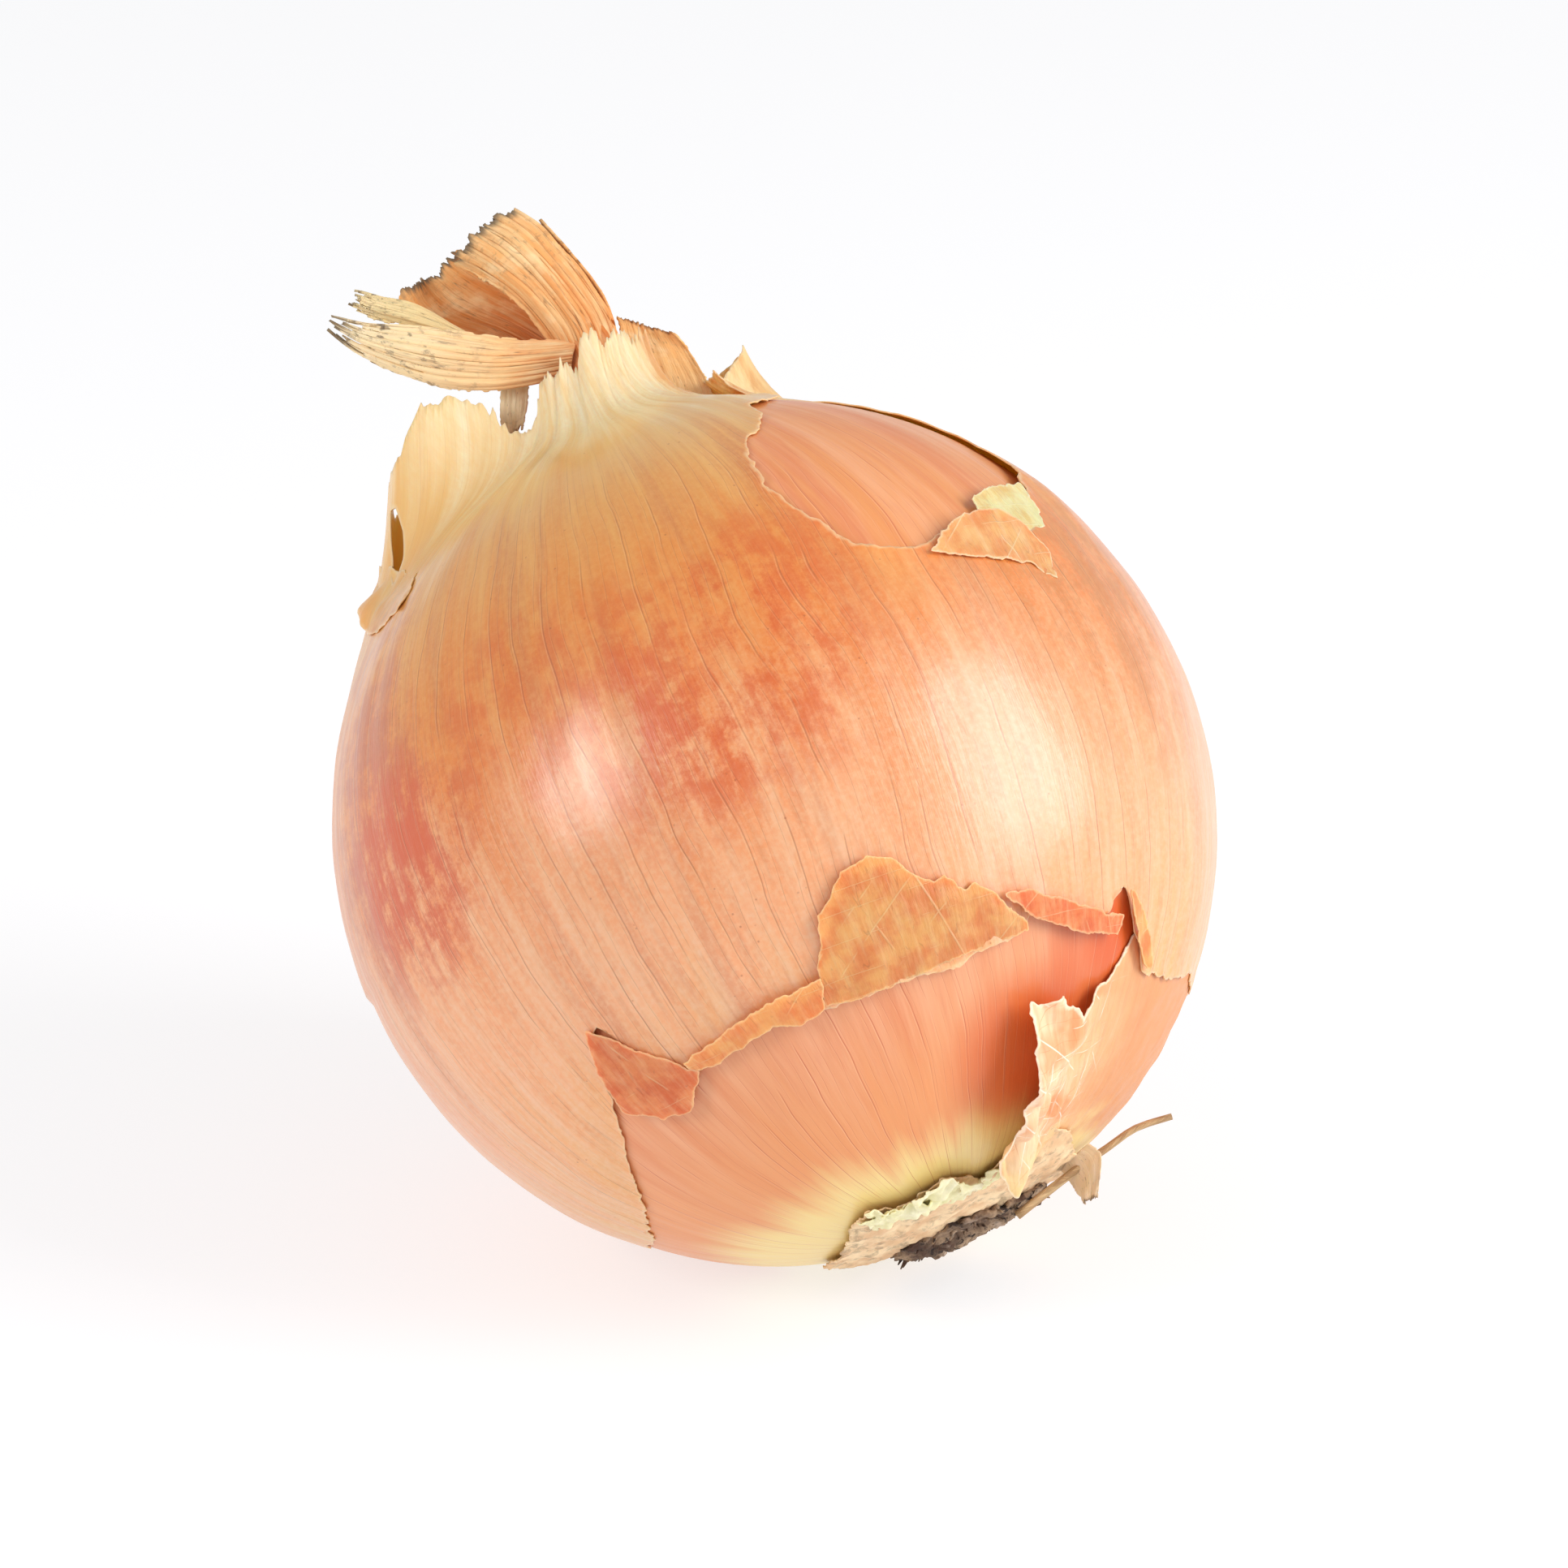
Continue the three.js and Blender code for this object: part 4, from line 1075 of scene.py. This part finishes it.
def makeRootSheet(name, outline, height, seed, cell, hole=None):
    inside = insideOf(outline)
    look = basalLook

    def keep(x, y):
        rag = wobble(x, y, seed, (0.8, 1.0), (2.2, 0.8), (5.0, 0.4))
        edge = inside(x, y) + look["rag"] * rag
        return min(edge, hole(x, y)) if hole else edge

    xs, ys = [p[0] for p in outline], [p[1] for p in outline]
    more = look["margin"]
    bm = flatGrid(min(xs) - more, max(xs) + more, min(ys) - more, max(ys) + more, cell, cell)
    tear(bm, keep, 0.5, 1)
    wrap(bm, nearRoot(height), keep)
    bmesh.ops.reverse_faces(bm, faces=bm.faces)
    return pieceFrom(name, bm, look["thickness"])


def basalFinish(name, light, dark, grey, amount):
    material, tree, shader = newMaterial(name)
    spot = start(tree, "TexCoord").outputs["Object"]
    deep = stretch(cloud(spot, 380, 4), 0.35, 0.65)
    tint = blend(deep, srgb(*light), srgb(*dark))
    stain = stretch(cloud(spot, 620, 6, 0.7), 0.48, 0.66)
    tint = layer(tint, grey, stain, amount)
    relief = (cloud(spot, 900, 6, 0.7), 0.5, 0.0003)
    surface(shader, tint, 0.72, relief, (0.1, 0.4, (0.003, 0.002, 0.001)))
    return material


def fromCentre(x, y):
    return math.hypot(x - rootLook["centre"][0], y - rootLook["centre"][1])


def awayFromPlate(x, y):
    return fromCentre(x, y) - rootLook["bare"] + 0.6 * wobble(x, y, 81, (0.5, 1.0), (1.6, 0.6))


def bandHeight(x, y):
    return 0.8 + 0.4 * wobble(x, y, 82, (0.4, 1.0), (1.2, 0.6), (3, 0.3))


def flakeHeight(i):
    def height(x, y):
        lumps = wobble(x, y, 84 + i, (0.6, 1.0), (1.6, 0.8))
        return 1.0 + 0.2 * (i % 3) + 0.1 * max(0, x - 11) + 0.6 * lumps
    return height


beigeFinish = basalFinish("oldSkin", (248, 216, 172), (226, 182, 138), (150, 130, 104), 0.65)
creamFinish = basalFinish("creamSkin", (252, 244, 208), (240, 232, 178), (214, 208, 150), 0.35)
band = makeRootSheet(
    "oldSkinBand", basalOutline, bandHeight, 83, basalLook["cell"], awayFromPlate
)
dress(band, beigeFinish, "basal_rim")
for i, (name, outline) in enumerate(basalFlakes.items()):
    flake = makeRootSheet(name, outline, flakeHeight(i), 90 + i, basalLook["flakeCell"])
    dress(flake, creamFinish, "basal_rim")


def makeRootPlate():
    look = rootLook
    centre, radius, half = look["centre"], look["radius"], look["grid"]

    def keep(x, y):
        return radius - fromCentre(x, y) + 0.7 * wobble(x, y, 101, (0.4, 1.0), (1.3, 0.6))

    def height(x, y):
        dome = math.sqrt(max(0.0, 1 - (fromCentre(x, y) / (radius + 0.8)) ** 2))
        lumps = 0.9 * wobble(x, y, 103, (0.35, 1.0), (0.9, 0.8), (2.2, 0.5))
        return 0.55 + 1.2 * dome + lumps * dome

    west, east, south, north = centre[0] - half, centre[0] + half, centre[1] - half, centre[1] + half
    bm = flatGrid(west, east, south, north, look["cell"], look["cell"])
    tear(bm, keep, 0.4, 1)
    wrap(bm, nearRoot(height), keep)
    bmesh.ops.reverse_faces(bm, faces=bm.faces)
    return pieceFrom("rootPlate", bm, look["thickness"])


def makeStems(name, stems, sides):
    # each stem is a line of points and the radius at its start and end
    bm = bmesh.new()
    for points, thick, thin in stems:
        ring = bmesh.ops.create_circle(bm, segments=sides, radius=1)["verts"]
        edges = list({e for v in ring for e in v.link_edges})
        start = edges
        flat = [v.co.copy() for v in ring]
        steps = 3 * (len(points) - 1)
        for k in range(steps + 1):
            share = k / steps
            middle = smoothLine(points, share)
            ahead, behind = min(1, share + 0.05), max(0, share - 0.05)
            along = smoothLine(points, ahead) - smoothLine(points, behind)
            turn = along.to_track_quat("Z", "Y")
            size = thick + (thin - thick) * share
            if k:
                grown = bmesh.ops.extrude_edge_only(bm, edges=edges)["geom"]
                edges = [g for g in grown if isinstance(g, bmesh.types.BMEdge) and g.is_boundary]
                ring = [g for g in grown if isinstance(g, bmesh.types.BMVert)]
            for vert, corner in zip(ring, flat):
                vert.co = middle + turn @ (corner * size)
        bmesh.ops.holes_fill(bm, edges=[e for e in start + edges if e.is_boundary], sides=0)
    bmesh.ops.recalc_face_normals(bm, faces=bm.faces)
    mapPlaces(bm, lambda co: (co.x, 0.4 + 0.02 * co.y))  # the middle of a leaf's colours
    return pieceFrom(name, bm)


def rootStubs():
    stems = []
    centre, count = rootLook["centre"], rootLook["stubs"]
    for i in range(count):
        out = rootLook["radius"] * 0.95 * math.sqrt((i + 0.5) / count)
        turn = i * rootLook["stubTurn"] + 0.4 * noise.noise(Vector((i, 0, 3)))
        x, y = centre[0] + out * math.cos(turn), centre[1] + out * math.sin(turn)
        base = nearRoot(lambda a, b: 1.4)(x, y)
        length = 0.7 + 0.8 * abs(noise.noise(Vector((i * 1.7, 5, 0))))
        lean = Vector((math.cos(turn), math.sin(turn), -0.7)) * length
        bend = Vector((noise.noise(Vector((i, 9, 1))), noise.noise(Vector((i, 2, 8))), 0)) * 1.2
        points = [base, clearOfFloor(base + lean * 0.5 + bend * 0.3), clearOfFloor(base + lean + bend)]
        thick = 0.22 + 0.12 * noise.noise(Vector((i, 4, 4)))
        stems.append((points, thick, 0.06))
    return stems


def rootFinish():
    material, tree, shader = newMaterial("corkyRoot")
    spot = start(tree, "TexCoord").outputs["Object"]
    light = stretch(cloud(spot, 260, 5, 0.6), 0.4, 0.6)
    tint = blend(light, srgb(82, 54, 40), srgb(196, 164, 132))
    dark = stretch(cloud(spot, 520, 6, 0.7), 0.48, 0.6)
    tint = layer(tint, (48, 32, 26), dark)
    tint = layer(tint, (226, 200, 178), stretch(cloud(spot, 340, 5), 0.56, 0.7), 0.7)
    surface(shader, tint, 0.88, (cloud(spot, 1100, 7, 0.75), 0.9, 0.0005))
    return material


corky = rootFinish()
dress(makeRootPlate(), corky, "root_plate")
dress(makeStems("rootStubs", rootStubs(), 5), corky, "root_plate")
longRoot = [
    (0, 6, -41), (0.3, 10, -40), (0.6, 13, -39.3), (0.5, 16, -38.7), (0.3, 19, -38.1), (0, 22.4, -38.4),
]
rootStops = [(0, (150, 112, 76)), (0.5, (188, 150, 108)), (1, (170, 130, 92))]
rootStrand = dryLeafFinish("dryRoot", rootStops, 0.2)
dress(makeStems("longRoot", [(longRoot, 0.42, 0.3)], 9), rootStrand, "root_plate")
flakeLook = {
    "left": [(-0.9, 11.2, -38.6), (-0.6, 11.6, -40.6), (0.3, 11.8, -42.6)],
    "right": [(1.9, 14.6, -37.8), (2, 15.2, -39.4), (1.3, 13.2, -42.6)],
    "bow": 0.5, "ridge": 0.08, "fray": 0.04, "rag": 0.03, "thickness": 0.16,
    "seed": 120, "wide": 24, "long": 30,
}
# partly painted light: the hanging flake is paler than its own colour, to make up for the shade it hangs
# in facing down
paleStopsPaintedLight = [(0, (252, 222, 188)), (0.5, (250, 218, 184)), (1, (248, 220, 190))]
paleFlake = dryLeafFinish("paleFlake", paleStopsPaintedLight, 0.1, end=(214, 180, 146), fibres=0.3)
dress(makeLeaf("hangingFlake", flakeLook), paleFlake, "root_plate")


# floor, light and camera
studio = {
    "floor": (160, 160, 163),
    "glow": 0.64,  # a lit table
    "sky": 0.6,
    "lens": 155.96,
    "place": (0.000667, -0.57344, 0.27526),
    "down": 22,  # the camera looks down by this angle, and the lights are placed by it
}
# name, the way it comes from (right, up and towards the camera), how far, size and power
lightBoxes = [
    ("rightBox", (0.863, 0.33, 0.46), 0.7, (0.34, 0.54), 4.4),
    ("leftBox", (-0.76, 0.25, 0.638), 0.8, (0.22, 0.32), 2.4),
]


def makeStudio():
    bm = bmesh.new()
    bmesh.ops.create_grid(bm, x_segments=1, y_segments=1, size=3)
    mesh = bpy.data.meshes.new("floor")
    bm.to_mesh(mesh)
    bm.free()
    floor = bpy.data.objects.new("floor", mesh)
    bpy.context.scene.collection.objects.link(floor)
    material, _, shader = newMaterial("paleFloor")
    shader.inputs["Base Color"].default_value = srgb(*studio["floor"])
    shader.inputs["Roughness"].default_value = 0.9
    shader.inputs["Emission Color"].default_value = (1, 1, 1, 1)
    shader.inputs["Emission Strength"].default_value = studio["glow"]
    mesh.materials.append(material)
    world = bpy.data.worlds.new("studio")
    world.use_nodes = True
    sky = world.node_tree.nodes["Background"]
    sky.inputs["Color"].default_value = (1, 1, 1, 1)
    sky.inputs["Strength"].default_value = studio["sky"]
    bpy.context.scene.world = world
    bpy.context.scene.view_settings.view_transform = "Standard"


def makeLight(name, way, far, size, power):
    rise = math.radians(studio["down"])
    right, up = Vector((1, 0, 0)), Vector((0, math.sin(rise), math.cos(rise)))
    toward = Vector((0, -math.cos(rise), math.sin(rise)))
    aim = (right * way[0] + up * way[1] + toward * way[2]).normalized()
    light = bpy.data.lights.new(name, "AREA")
    light.shape = "RECTANGLE"
    light.size, light.size_y = size
    light.energy = power
    lamp = bpy.data.objects.new(name, light)
    lamp.location = Vector((0, 0, 0.04)) + aim * far
    lamp.rotation_euler = aim.to_track_quat("Z", "Y").to_euler()
    bpy.context.scene.collection.objects.link(lamp)


def makeCamera():
    camera = bpy.data.cameras.new("camera")
    camera.lens = studio["lens"]
    camera.sensor_width = 36
    camera.clip_start = 0.01
    holder = bpy.data.objects.new("camera", camera)
    holder.location = studio["place"]
    holder.rotation_euler = (math.radians(90 - studio["down"]), 0, 0)
    bpy.context.scene.collection.objects.link(holder)
    bpy.context.scene.camera = holder


makeStudio()
for box in lightBoxes:
    makeLight(*box)
makeCamera()
print("studio ready")
